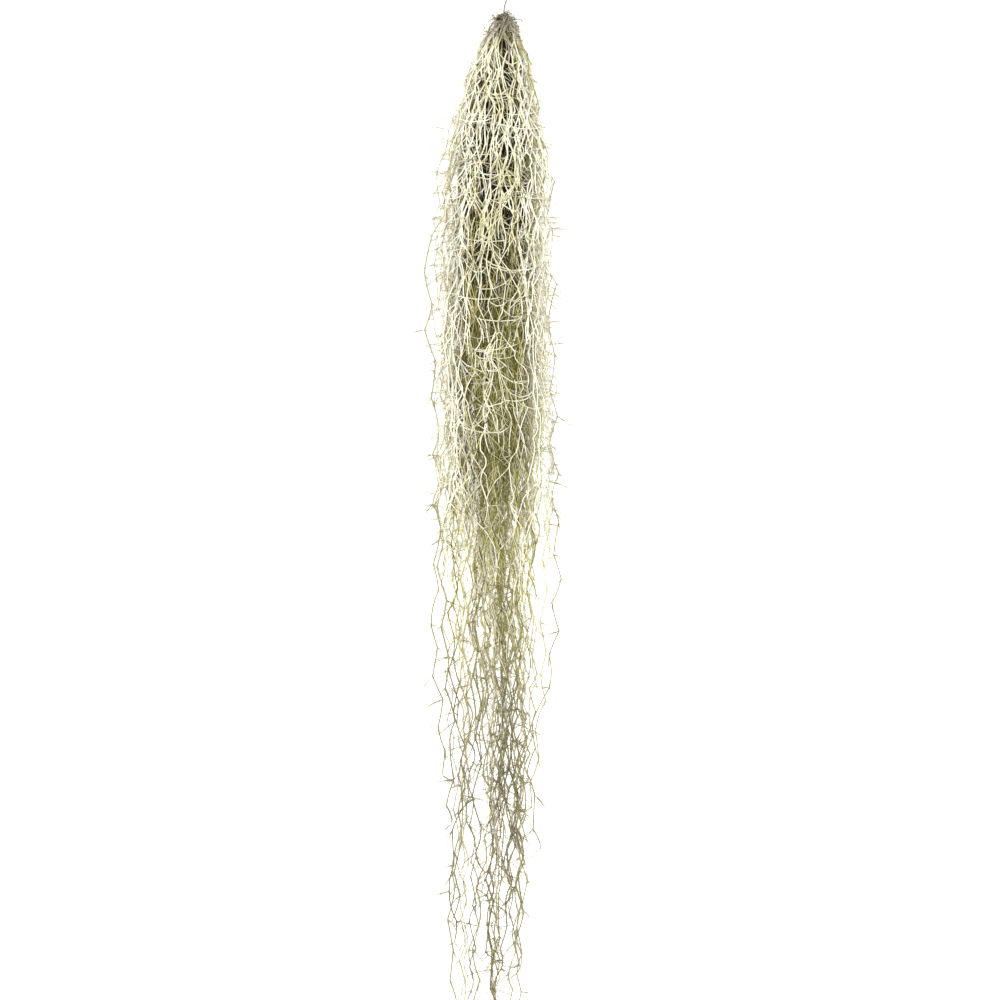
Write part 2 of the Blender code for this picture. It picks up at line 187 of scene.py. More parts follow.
@dataclass(frozen=True)
class BunchShape:
    """The outline of the whole bunch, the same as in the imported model."""

    head_y: float = 0.52
    body_half_width: float = 0.074
    tail_half_width: float = 0.054
    neck_half_width: float = 0.009
    neck_end: float = 0.016
    full_width_from: float = 0.30
    shoulder_power: float = 0.65
    thins_from: float = 0.78
    thins_to: float = 1.12
    narrows_to: float = 1.45
    head_flare: float = 0.003
    head_flare_ends: float = 0.007
    body_height: float = 0.060
    neck_height: float = 0.0155
    tail_height: float = 0.0078
    full_height_from: float = 0.34
    rise_power: float = 0.72
    slopes_from: float = 0.48
    slopes_to: float = 1.14
    neck_lift: float = 0.0017
    neck_lift_ends: float = 0.085
    head_shift: float = 0.016
    head_shift_fades: float = 0.16
    tail_shift: float = -0.010
    tail_shift_from: float = 0.9
    tail_shift_to: float = 1.5
    rounding: float = 0.38
    rounds_to: float = 1.2
    mat_from: Span = (0.38, 0.52)
    mat_to: Span = (0.64, 0.80)
    mat_sides: Span = (0.45, 0.80)

    def swell(self, along: Amount, full_from: float, power: float) -> Amount:
        """Gives 0 at the neck, rising like the shoulder of a hanging bunch to 1."""
        share = np.clip((along - self.neck_end) / (full_from - self.neck_end), 0.0, 1.0)
        return np.sin(0.5 * math.pi * share**power)

    def half_width(self, along: Amount) -> Amount:
        """Half the width of the bunch, without the leaves that stand out of it."""
        narrowing = smooth(along, self.thins_from, self.narrows_to)
        body = self.body_half_width + (self.tail_half_width - self.body_half_width) * narrowing
        flare = self.head_flare * (1.0 - smooth(along, 0.0, self.head_flare_ends))
        spread = self.swell(along, self.full_width_from, self.shoulder_power)
        return self.neck_half_width + (body - self.neck_half_width) * spread + flare

    def height(self, along: Amount) -> Amount:
        """Height of the bunch over its own underside."""
        sloping = smooth(along, self.slopes_from, self.slopes_to)
        body = self.body_height + (self.tail_height - self.body_height) * sloping
        rise = self.swell(along, self.full_height_from, self.rise_power)
        return self.neck_height + (body - self.neck_height) * rise

    def underside(self, along: Amount) -> Amount:
        """The neck lies on the wire turns under it, and the rest of the bunch on the table."""
        return self.neck_lift * (1.0 - smooth(along, self.neck_end, self.neck_lift_ends))

    def middle(self, along: Amount) -> Amount:
        """Sideways place of the middle of the bunch."""
        tail = self.tail_shift * smooth(along, self.tail_shift_from, self.tail_shift_to)
        return self.head_shift * np.exp(-along / self.head_shift_fades) + tail

    def aside(self, x: Amount, along: Amount) -> Amount:
        """How far to the side a place is, from 0 in the middle to 1 at the edge of the bunch."""
        return np.abs(x - self.middle(along)) / self.half_width(along)

    def fall(self, x: Amount, along: Amount) -> Amount:
        """How far the rounded top falls towards a side, as a share of the height."""
        return self.rounding * np.clip(self.aside(x, along), 0.0, self.rounds_to) ** 2

    def top(self, x: Amount, along: Amount) -> Amount:
        """Height of the rounded top of the bunch over a place."""
        return self.underside(along) + self.height(along) * (1.0 - self.fall(x, along))

    def mat_length(self, along: Amount) -> Amount:
        """Where along the bunch its moss is closely packed: 1 in the middle, 0 at the head and the tail."""
        return smooth(along, *self.mat_from) * (1.0 - smooth(along, *self.mat_to))

    def mat(self, x: Amount, along: Amount) -> Amount:
        """How closely packed the moss is: 1 in the middle of the body, 0 at the head, the edges and the tail."""
        return self.mat_length(along) * (1.0 - smooth(self.aside(x, along), *self.mat_sides))

    def parted(self, x: np.ndarray, along: np.ndarray, strength: float) -> np.ndarray:
        """Moves places aside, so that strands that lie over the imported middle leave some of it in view."""
        offset = x - self.middle(along)
        push = strength * self.mat_length(along) * np.sin(math.pi * np.minimum(self.aside(x, along), 1.0))
        return x + np.sign(offset) * push * self.half_width(along)


@dataclass(frozen=True)
class Layer:
    """One of the three layers of locks, from the table up."""

    name: str
    low: float
    high: float
    width: float
    neck_width: float
    phase: float
    core_ends: tuple[float, ...]
    strand_ends: tuple[tuple[float, ...], ...]
    first_seed: int
    spill: float
    packed: int
    draped: int
    arcs: int
    fringe: int

    @property
    def lanes(self) -> int:
        """How many locks lie side by side in the layer."""
        return len(self.core_ends)


@dataclass(frozen=True)
class LaneRules:
    """How the boundaries between neighbouring locks run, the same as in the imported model."""

    spread_by: float = 0.25
    sway: float = 0.21
    sway_length: float = 0.45
    sway_step: float = 1.9
    sway_from: float = 0.08
    sway_to: float = 0.30
    neck_room: float = 0.00018
    body_room: float = 0.0007
    side_margin: float = 0.003
    level_margin: float = 0.002
    needle_space: float = 1.4
    margin_parts: float = 5.0


@dataclass(frozen=True)
class Lane:
    """The space that one lock keeps to: a strip of one layer."""

    bunch: BunchShape
    layer: Layer
    number: int
    rules: LaneRules = field(default_factory=LaneRules)

    @property
    def seed(self) -> int:
        """The seed of the lock's own strands."""
        return self.layer.first_seed + self.number

    @property
    def leftmost(self) -> bool:
        """Whether the lane lies at the left edge."""
        return self.number == 0

    @property
    def rightmost(self) -> bool:
        """Whether the lane lies at the right edge."""
        return self.number == self.layer.lanes - 1

    @property
    def outer(self) -> bool:
        """Whether the lane lies at an edge."""
        return self.leftmost or self.rightmost

    @property
    def on_top(self) -> bool:
        """Whether nothing lies over the lane."""
        return self.layer.high == 1.0

    def edge(self, index: int, along: Amount) -> Amount:
        """Sideways place of the lane boundary with that index."""
        layer, rules, bunch = self.layer, self.rules, self.bunch
        spread = smooth(along, bunch.neck_end, rules.spread_by)
        share = layer.neck_width + (layer.width - layer.neck_width) * spread
        share = share + (1.0 - layer.width) * smooth(along, bunch.thins_from, bunch.thins_to)
        place = -1.0 + 2.0 * index / layer.lanes
        if 0 < index < layer.lanes:
            turn = 2.0 * math.pi * along / rules.sway_length + layer.phase + rules.sway_step * index
            swayed = rules.sway * np.sin(turn) / layer.lanes
            place = place + swayed * smooth(along, rules.sway_from, rules.sway_to)
        return bunch.middle(along) + bunch.half_width(along) * share * place

    def room(self, along: Amount) -> Amount:
        """Room that a lock keeps to the boundary of its lane."""
        rules = self.rules
        growth = smooth(along, self.bunch.neck_end, rules.spread_by)
        return rules.neck_room + (rules.body_room - rules.neck_room) * growth

    def sides(self, along: Amount) -> tuple:
        """Left and right edge of the lane."""
        room = self.room(along)
        return self.edge(self.number, along) + room, self.edge(self.number + 1, along) - room

    def levels(self, along: Amount) -> tuple:
        """Lowest and highest level of the lane."""
        base, height = self.bunch.underside(along), self.bunch.height(along)
        room = self.room(along)
        low = base + height * self.layer.low + (room if self.layer.low > 0 else 0.0)
        return low, base + height * self.layer.high - room

    def across(self, along: Amount, share: Amount) -> Amount:
        """Sideways place in the lane, where share is -1 at its left edge and 1 at its right."""
        left, right = self.sides(along)
        return 0.5 * (left + right) + 0.5 * (right - left) * share

    def up(self, along: Amount, share: Amount) -> Amount:
        """Height in the lane, where share is 0 at its bottom and 1 at its top."""
        low, high = self.levels(along)
        return low + (high - low) * share

    def bend_clear(self, point: Point, radius: float) -> np.ndarray:
        """Moves a point, if need be, to where a shoot of that radius stays in this lane.

        Args:
            point: the place of a joint.
            radius: the shoot's radius.

        Returns:
            The place, bent back where it was outside.
        """
        x, y, z = point
        radius *= self.rules.needle_space
        along = self.bunch.head_y - y
        left, right = self.sides(along)
        low, high = self.levels(along)
        margin = min(self.rules.side_margin, (right - left) / self.rules.margin_parts)
        if not self.leftmost:
            x = held_in(x, left + radius, -1, margin)
        if not self.rightmost:
            x = held_in(x, right - radius, 1, margin)
        margin = min(self.rules.level_margin, (high - low) / self.rules.margin_parts)
        z = held_in(z, low + radius, -1, margin)
        if not self.on_top:
            z = held_in(z, high - radius, 1, margin)
        return np.array([x, y, z])


@dataclass(frozen=True)
class PackedMiddle:
    """The outline of a lock's packed middle, which its first shoots grow from."""

    lane: Lane
    end: float
    neck_fill: float = 0.97
    body_fill: float = 0.80
    fill_from: float = 0.12
    taper: float = 0.30
    wisp: float = 0.12

    def half_sizes(self, along: float) -> Span:
        """Half the width and half the height, which thin to a wisp at the end."""
        left, right = self.lane.sides(along)
        low, high = self.lane.levels(along)
        fill = self.neck_fill + (self.body_fill - self.neck_fill) * smooth(
            along, self.lane.bunch.neck_end, self.fill_from
        )
        fill *= self.wisp + (1.0 - self.wisp) * (1.0 - smooth(along, self.end - self.taper, self.end))
        return 0.5 * (right - left) * fill, 0.5 * (high - low) * fill

    def centre(self, along: float) -> Span:
        """Sideways place and height of the axis."""
        left, right = self.lane.sides(along)
        low, high = self.lane.levels(along)
        return 0.5 * (left + right), 0.5 * (low + high)

    def point(self, along: float, turn: float, share: float) -> np.ndarray:
        """Gives a point at an angle turn from the +X side, that share of the way out to the skin."""
        wide, tall = self.half_sizes(along)
        x, z = self.centre(along)
        if self.lane.layer.low == 0.0:
            z = self.lane.levels(along)[0] + tall
        y = self.lane.bunch.head_y - along
        return np.array([x + wide * share * math.cos(turn), y, z + tall * share * math.sin(turn)])

    def top_over(self, along: float, x: float) -> float:
        """Height of the skin over a place, or of the axis where the place is beside it."""
        wide, tall = self.half_sizes(along)
        centre_x, centre_z = self.centre(along)
        across = min(1.0, abs(x - centre_x) / wide)
        return centre_z + tall * math.sqrt(1.0 - across**2)


@dataclass(frozen=True)
class ShootRules:
    """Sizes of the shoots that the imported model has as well."""

    radius: float = 0.0007
    length: float = 0.046
    lengths: Span = (0.8, 1.25)
    swing: float = 0.0062
    swings: Span = (0.5, 1.2)
    wander: float = 0.006
    wander_turns: float = 9.0
    levels: Span = (0.25, 0.8)
    sides: Span = (-0.7, 0.7)
    root_share: float = 0.5
    side_reach: float = 0.84
    proud: float = 0.0018
    upper_starts: tuple[float, ...] = (0.05, 0.17, 0.32)
    upper_spread: float = 0.05
    outer_starts: Span = (0.26, 0.36)
    before_end: Span = (0.30, 0.36)
    turn_margin: float = 0.3


@dataclass(frozen=True)
class StrandStyle:
    """How the strands of one kind look. Each pair is a range that a strand or joint draws from."""

    radius: Span
    tone: Span
    bow: float
    leaves: tuple[int, int]
    stars: float
    spread: Span
    leaf_length: Span
    bushy_leaves: int = 0
    star_leaves: tuple[int, int] = (4, 6)
    star_spread: float = 0.95


# Tones differ at random within each range, and also by where a kind lies, as painted shade and light: the filling
# inside a lock is darker, and strands draped over the top are near white.
MAIN = StrandStyle((0.0007, 0.00085), (0.15, 0.66), 0.0030, (2, 3), 0.10, (0.05, 0.55), (0.034, 0.054))
PACKED = StrandStyle((0.0006, 0.00085), (0.08, 0.55), 0.0040, (0, 1), 0.03, (0.05, 0.7), (0.020, 0.036), 1)
FRINGE = StrandStyle((0.0005, 0.00065), (0.2, 0.9), 0.0045, (1, 4), 0.10, (0.2, 1.1), (0.030, 0.060))
DRAPED = StrandStyle((0.0009, 0.0012), (0.85, 1.05), 0.0046, (0, 2), 0.15, (0.25, 0.95), (0.026, 0.050))
BRANCH = StrandStyle((0.0007, 0.0009), (0.8, 1.0), 0.0040, (0, 1), 0.05, (0.2, 0.8), (0.020, 0.040))
ARC = StrandStyle((0.0006, 0.0009), (0.85, 1.05), 0.0014, (0, 1), 0.0, (0.2, 0.8), (0.016, 0.032))
CURL = StrandStyle((0.0004, 0.0006), (0.2, 0.9), 0.0030, (0, 1), 0.0, (0.3, 1.2), (0.008, 0.018))


@dataclass(frozen=True)
class FillRules:
    """The many finer shoots that fill each lock, and the bright ones that lie over it."""

    internode: Span = (0.024, 0.052)
    across: float = 1.02
    levels: Span = (0.03, 0.94)
    tufts: tuple[Span, ...] = ((0.035, 0.07), (0.08, 0.15), (0.17, 0.34))
    tuft_across: float = 0.95
    tuft_level: float = 0.95
    tuft_length: float = 0.012
    body_root: Span = (0.4, 0.5)
    spreads: Span = (0.02, 0.16)
    crown: float = 0.88
    crown_ends: Span = (0.18, 0.36)
    zigzag: Span = (0.0044, 0.0050)
    zigzag_grows: Span = (0.3, 0.9)
    zigzag_starts: Span = (0.008, 0.08)
    zigzag_shares: Span = (0.35, 1.3)
    lift: float = 0.0022
    wander: Span = (0.12, 0.46)
    wander_length: Span = (0.28, 0.75)
    bright_share: float = 0.30
    bright_tone: Span = (0.72, 1.0)
    from_neck: float = 0.38
    from_tuft: float = 0.34
    neck_starts: Span = (0.001, 0.012)
    body_starts: Span = (0.03, 0.50)
    neck_pinch: float = 0.5
    pinch_ends: float = 0.009
    gather: float = 0.085
    end_short: float = 0.31
    end_spread: float = 0.15
    earliest_end: float = 0.36
    latest_end: float = 1.30
    long_share: float = 0.10
    long_lean: float = 0.6
    long_ends: Span = (1.08, 1.64)
    least_length: float = 0.22
    highest: float = 0.086
    drape_starts: Span = (0.006, 0.62)
    drape_lean: float = 2.0
    drape_lengths: Span = (0.16, 0.50)
    drape_internode: Span = (0.022, 0.048)
    drape_zigzag: float = 0.62
    drape_head_zigzag: float = 1.7
    drape_head_ends: Span = (0.2, 0.4)
    drape_turns: Span = (0.25, 0.6)
    drape_parting: float = 0.16
    drape_reach: Span = (0.35, 1.0)
    drape_lift: Span = (0.0004, 0.0040)
    branch_share: float = 0.34
    branch_internode: Span = (0.020, 0.040)
    branch_aside: Span = (0.010, 0.026)
    branch_joints: tuple[int, int] = (2, 4)
    branch_fades: float = 0.3
    branch_edge: float = 1.12
    arc_places: Span = (0.035, 0.62)
    arc_reach: Span = (0.016, 0.060)
    arc_sag: Span = (0.004, 0.022)
    arc_steps: int = 4
    arc_dive: float = 0.010
    arc_room: float = 0.8
    arc_edge: float = 1.05
    arc_slant: float = 0.006
    fringe_starts: Span = (0.06, 0.62)
    fringe_lengths: Span = (0.12, 0.42)
    fringe_places: Span = (0.92, 1.22)
    fringe_root: float = 0.8
    fringe_parts_in: float = 0.08
    fringe_levels: Span = (0.1, 0.9)
    tail_wander: float = 0.008
    tail_wander_length: Span = (0.35, 0.8)
    tail_wander_from: Span = (0.85, 1.1)


@dataclass(frozen=True)
class GuideRules:
    """How a chain of joints becomes a smooth guide line."""

    steps: int = 4
    bow_lift: float = 0.5
    lowest: float = 0.0013
    joint_swell: float = 1.22
    tip_share: float = 0.45
    loose_spread: float = 0.32
    bushy_from: float = 0.66
    tail_leaves: float = 1.36
    tail_width: float = 1.2
    tail_from: Span = (0.80, 1.05)
    opens_along: Span = (0.62, 0.95)
    opens_aside: Span = (0.70, 1.0)
    bushy_mat: float = 0.3
    bushy_aside: float = 0.6
    stray: float = 0.25
    flat_side: float = 2.5
    rise: float = 0.6
    sink: float = 0.15
    least_away: float = 0.05


class GuideLines:
    """The guide lines of one lock: every shoot as a line of points, with what the trees need to know at each."""

    LABELS = ("leaves", "spread", "leaf_length", "width", "tone", "hue")

    def __init__(self, bunch: BunchShape, rules: GuideRules, seed: int) -> None:
        """Starts with no lines.

        Args:
            bunch: the outline of the bunch, which says where outwards is.
            rules: how joints become lines.
            seed: the seed of the bows, leaves and tones.
        """
        self.bunch = bunch
        self.rules = rules
        self.draw = np.random.default_rng(seed)
        self.points: list[np.ndarray] = []
        self.values: dict[str, list[np.ndarray]] = {label: [] for label in self.LABELS}

    def add(self, chain: Chain, style: StrandStyle, tones: Span | None = None) -> None:
        """Adds one shoot chain.

        Args:
            chain: its joints, from root to tip.
            style: how it looks.
            tones: how silvery it may be, from 0 to 1, where the style's own range isn't wanted.
        """
        rules, draw = self.rules, self.draw
        line, marks = [], []
        for here, following in zip(chain, chain[1:]):
            bend = draw.normal(0.0, style.bow, 3) * (1.0, 0.0, rules.bow_lift)
            middle = 0.5 * (here + following) + bend
            for step in range(rules.steps):
                share = step / rules.steps
                near, far = here + (middle - here) * share, middle + (following - middle) * share
                line.append(near + (far - near) * share)
                marks.append(step == 0)
        line.append(chain[-1])
        points, joints = np.array(line), np.array([*marks, True])
        points[:, 2] = np.maximum(points[:, 2], rules.lowest)
        count = len(points)
        along = self.bunch.head_y - points[:, 1]
        aside = self.bunch.aside(points[:, 0], along)
        bushy = self.bunch.mat(points[:, 0], along) > rules.bushy_mat
        bushy |= (along > rules.bushy_from) | (aside > rules.bushy_aside)
        stars = draw.uniform(size=count) < style.stars
        leaves = np.where(
            stars,
            draw.integers(*style.star_leaves, count, endpoint=True),
            draw.integers(*style.leaves, count, endpoint=True) + style.bushy_leaves * bushy,
        )
        tail = smooth(along, *rules.tail_from)
        loose = np.maximum(smooth(along, *rules.opens_along), smooth(aside, *rules.opens_aside))
        opened = rules.loose_spread * loose
        width = draw.uniform(*style.radius) * (1.0 + (rules.joint_swell - 1.0) * joints)
        width *= 1.0 + (rules.tail_width - 1.0) * tail
        width[-1] *= rules.tip_share
        leaves[0] = 0
        own_tone = draw.uniform(*(tones or style.tone))
        self.points.append(points)
        for label, value in (
            ("leaves", np.where(joints, leaves, 0)),
            ("spread", np.where(stars, style.star_spread, draw.uniform(*style.spread, count) + opened)),
            ("leaf_length", draw.uniform(*style.leaf_length, count) * (1.0 + (rules.tail_leaves - 1.0) * tail)),
            ("width", width),
            ("tone", np.full(count, own_tone)),
            ("hue", np.full(count, draw.uniform())),
        ):
            self.values[label].append(value)

    def outward(self, points: np.ndarray) -> np.ndarray:
        """Directions that point out of the bunch at each place."""
        bunch, rules, count = self.bunch, self.rules, len(points)
        along = bunch.head_y - points[:, 1]
        side = (points[:, 0] - bunch.middle(along)) / bunch.half_width(along)
        rise = (points[:, 2] - bunch.underside(along)) / bunch.height(along)
        flatness = 1.0 - bunch.height(along) / bunch.body_height
        side = side + self.draw.normal(0.0, rules.stray, count)
        side = side + rules.flat_side * flatness * self.draw.choice([-1, 1], count)
        away = np.stack([side, np.zeros_like(side), rules.rise * rise - rules.sink], axis=1)
        return away / np.maximum(np.linalg.norm(away, axis=1, keepdims=True), rules.least_away)

    def mesh(self, name: str) -> Object:
        """Makes an object of loose edges that carries all lines and their attributes.

        Args:
            name: the object's name.

        Returns:
            The guide object, linked to the scene.
        """
        points = np.concatenate(self.points)
        ends = np.cumsum([len(line) for line in self.points])
        numbers = np.arange(len(points) - 1)
        inner = numbers[~np.isin(numbers, ends - 1)]
        data = bpy.data.meshes.new(name)
        data.vertices.add(len(points))
        data.edges.add(len(inner))
        data.vertices.foreach_set("co", points.astype(np.float32).ravel())
        data.edges.foreach_set("vertices", np.stack([inner, inner + 1], axis=1).astype(np.int32).ravel())
        for label, values in self.values.items():
            write_values(data, label, np.concatenate(values))
        outward = data.attributes.new("outward", "FLOAT_VECTOR", "POINT")
        outward.data.foreach_set("vector", self.outward(points).astype(np.float32).ravel())
        return add_object(name, data)


class TreeKind(Enum):
    """The two Geometry Nodes trees that turn guide lines into moss."""

    SHOOTS = "moss_shoots"
    LEAVES = "moss_leaves"


@dataclass(frozen=True)
class LeafRules:
    """Sizes of the thread leaves. Each leaf is a shallow arc, as long as 1 before its own length is drawn."""

    radius: float = 0.00052
    lengths: Span = (0.55, 1.15)
    turn: float = 2.4
    curl: float = 0.010
    curl_scale: float = 34.0
    curl_power: float = 1.4
    thinning: float = 0.78
    thin_power: float = 1.6
    points: int = 6
    sides: int = 3
    middle: Point = (0.22, 0.0, 0.45)
    end: Point = (0.34, 0.0, 0.93)
    reach: float = 0.012
    rise: float = 0.006
    lowest: float = 0.0006
    own_tone: float = 0.3
    seeds: tuple[int, int, int] = (5, 7, 13)


class TreeMaker:
    """A Geometry Nodes tree that gives guide lines round shoots or leaves."""

    def __init__(self, kind: TreeKind, sizes: dict[str, tuple[str, object]]) -> None:
        """Starts the tree with its inputs and its output.

        Args:
            kind: which tree this is.
            sizes: the socket type and the default of each named size.
        """
        self.tree = bpy.data.node_groups.new(kind.value, "GeometryNodeTree")
        face = self.tree.interface
        inputs = {"Guides": ("Geometry", None), **sizes, "Material": ("Material", None)}
        for name, (socket, default) in inputs.items():
            made = face.new_socket(name, in_out="INPUT", socket_type=f"NodeSocket{socket}")
            if default is not None:
                made.default_value = default
        face.new_socket("Moss", in_out="OUTPUT", socket_type="NodeSocketGeometry")
        self.given = self.node("NodeGroupInput").outputs
        self.lines = self.node("GeometryNodeMeshToCurve", {"Mesh": self.given["Guides"]})

    def node(self, kind: str, inputs: dict | None = None, **settings: object) -> Node:
        """Adds a node to this tree."""
        return add_node(self.tree, kind, inputs, **settings)

    def sweep(self, lines: Node, sides: int | NodeSocket, width: Node) -> None:
        """Ends the tree: closed round tubes along lines, as real geometry with its material.

        Args:
            lines: the node that gives the lines.
            sides: how many sides the tubes have.
            width: the tubes' radius.
        """
        profile = self.node("GeometryNodeCurvePrimitiveCircle", {"Resolution": sides, "Radius": 1.0})
        swept = {"Curve": lines, "Profile Curve": profile, "Scale": width, "Fill Caps": True}
        tubes = self.node("GeometryNodeCurveToMesh", swept)
        shaded = self.node("GeometryNodeSetShadeSmooth", {"Geometry": tubes})
        real = self.node("GeometryNodeRealizeInstances", {"Geometry": shaded})
        dressed = self.node("GeometryNodeSetMaterial", {"Geometry": real, "Material": self.given["Material"]})
        self.node("NodeGroupOutput", {"Moss": dressed})

    def run(self, guides: Object, name: str, values: dict[str, object]) -> Object:
        """Runs the tree on guide lines and keeps the result as a plain mesh.

        Args:
            guides: the object that carries the lines.
            name: the new piece's name.
            values: the tree's inputs, by name.

        Returns:
            The new piece, at the origin, with no modifier.
        """
        modifier = guides.modifiers.new("tree", "NODES")
        modifier.node_group = self.tree
        sockets = {s.name: s.identifier for s in self.tree.interface.items_tree if s.item_type == "SOCKET"}
        for label, value in values.items():
            modifier[sockets[label]] = value
        made = plain_copy(guides, name)
        guides.modifiers.remove(modifier)
        return made


def shoot_tree() -> TreeMaker:
    """Builds the tree that gives each guide line its round shoot."""
    maker = TreeMaker(TreeKind.SHOOTS, {"Sides": ("Int", 4), "Thickness": ("Float", 1.0)})
    width = maker.node("GeometryNodeInputNamedAttribute", {"Name": "width"}, data_type="FLOAT")
    width = maker.node("ShaderNodeMath", {0: width, 1: maker.given["Thickness"]}, operation="MULTIPLY")
    maker.sweep(maker.lines, maker.given["Sides"], width)
    return maker


def leaf_tree(rules: LeafRules) -> TreeMaker:
    """Builds the tree that puts thread leaves at every joint of the guide lines.

    Args:
        rules: the leaves' sizes, which become the defaults of the tree's inputs.

    Returns:
        The finished tree.
    """
    sizes = {
        "Leaf Radius": ("Float", rules.radius),
        "Turn": ("Float", rules.turn),
        "Curl": ("Float", rules.curl),
        "Lowest": ("Vector", (-1.0, -2.0, rules.lowest)),
        "Highest": ("Vector", (1.0, 2.0, 1.0)),
    }
    maker = TreeMaker(TreeKind.LEAVES, sizes)
    node, given = maker.node, maker.given
    kinds = dict.fromkeys(("leaves", "tone", "spread", "leaf_length", "out"), "FLOAT")
    reads = {
        label: node("GeometryNodeInputNamedAttribute", {"Name": label}, data_type=kind)
        for label, kind in {**kinds, "outward": "FLOAT_VECTOR"}.items()
    }
    back = node("ShaderNodeMath", {0: given["Turn"], 1: -1.0}, operation="MULTIPLY")
    ranges = ((-rules.own_tone, rules.own_tone), (back, given["Turn"]), rules.lengths)
    own_tone, turn, length = (
        node("FunctionNodeRandomValue", {"Min": low, "Max": high, "Seed": seed}, data_type="FLOAT")
        for (low, high), seed in zip(ranges, rules.seeds)
    )

    # The joints, each copied once for every leaf that stands there.
    dots = node("GeometryNodeCurveToPoints", {"Curve": maker.lines}, mode="EVALUATED").outputs
    leafy = node("ShaderNodeMath", {0: reads["leaves"], 1: 0.5}, operation="GREATER_THAN")
    wanted = {"Geometry": dots["Points"], "Selection": leafy, "Amount": reads["leaves"]}
    copies = node("GeometryNodeDuplicateElements", wanted, domain="POINT")
    tone = node("ShaderNodeMath", {0: reads["tone"], 1: own_tone}, operation="ADD")
    stored = {"data_type": "FLOAT", "domain": "POINT"}
    toned = node("GeometryNodeStoreNamedAttribute", {"Geometry": copies, "Name": "tone", "Value": tone}, **stored)

    # Z runs along the shoot and X out of the bunch, then the leaf turns round the shoot and leans away from it.
    facing = node("FunctionNodeAlignRotationToVector", {"Vector": dots["Tangent"]}, axis="Z")
    outward = {"Rotation": facing, "Vector": reads["outward"]}
    facing = node("FunctionNodeAlignRotationToVector", outward, axis="X", pivot_axis="Z")
    for axis, angle in (((0.0, 0.0, 1.0), turn), ((0.0, 1.0, 0.0), reads["spread"])):
        by = node("FunctionNodeAxisAngleToRotation", {"Axis": axis, "Angle": angle})
        turned = {"Rotation": facing, "Rotate By": by}
        facing = node("FunctionNodeRotateRotation", turned, rotation_space="LOCAL")

    # One arc on every copy. out is 0 at a leaf's foot and 1 at its tip.
    size = node("ShaderNodeMath", {0: length, 1: reads["leaf_length"]}, operation="MULTIPLY")
    bow = {"Resolution": rules.points - 1, "Start": (0.0, 0.0, 0.0), "Middle": rules.middle, "End": rules.end}
    arc = node("GeometryNodeCurveQuadraticBezier", bow)
    share = node("GeometryNodeSplineParameter").outputs["Factor"]
    marked = node("GeometryNodeStoreNamedAttribute", {"Geometry": arc, "Name": "out", "Value": share}, **stored)
    placing = {"Points": toned, "Instance": marked, "Rotation": facing, "Scale": size}
    placed = node("GeometryNodeInstanceOnPoints", placing)
    real = node("GeometryNodeRealizeInstances", {"Geometry": placed})

    # The tips wander, and every leaf stays off the table and inside the lock's space.
    place = node("GeometryNodeInputPosition")
    noise = node("ShaderNodeTexNoise", {"Vector": place, "Scale": rules.curl_scale, "Detail": 1.0})
    centred = {0: noise.outputs["Color"], 1: (0.5, 0.5, 0.5)}
    centred = node("ShaderNodeVectorMath", centred, operation="SUBTRACT")
    strength = node("ShaderNodeMath", {0: reads["out"], 1: rules.curl_power}, operation="POWER")
    strength = node("ShaderNodeMath", {0: strength, 1: given["Curl"]}, operation="MULTIPLY")
    curl = node("ShaderNodeVectorMath", {0: centred, "Scale": strength}, operation="SCALE")
    moved = node("GeometryNodeSetPosition", {"Geometry": real, "Offset": curl})
    for limit, operation in (("Lowest", "MAXIMUM"), ("Highest", "MINIMUM")):
        place = node("ShaderNodeVectorMath", {0: place, 1: given[limit]}, operation=operation)
    kept = node("GeometryNodeSetPosition", {"Geometry": moved, "Position": place})

    thin = node("ShaderNodeMath", {0: reads["out"], 1: rules.thin_power}, operation="POWER")
    thin = node("ShaderNodeMath", {0: thin, 1: rules.thinning}, operation="MULTIPLY")
    thin = node("ShaderNodeMath", {0: 1.0, 1: thin}, operation="SUBTRACT")
    width = node("ShaderNodeMath", {0: given["Leaf Radius"], 1: thin}, operation="MULTIPLY")
    maker.sweep(kept, rules.sides, width)
    return maker


def new_material(name: str, inputs: dict) -> tuple[Material, Node]:
    """Adds a material.

    Args:
        name: its name.
        inputs: what its shader's inputs get.

    Returns:
        The material and its shader.
    """
    material = bpy.data.materials.new(name)
    material.use_nodes = True
    shader = material.node_tree.nodes["Principled BSDF"]
    set_inputs(shader, inputs)
    return material, shader


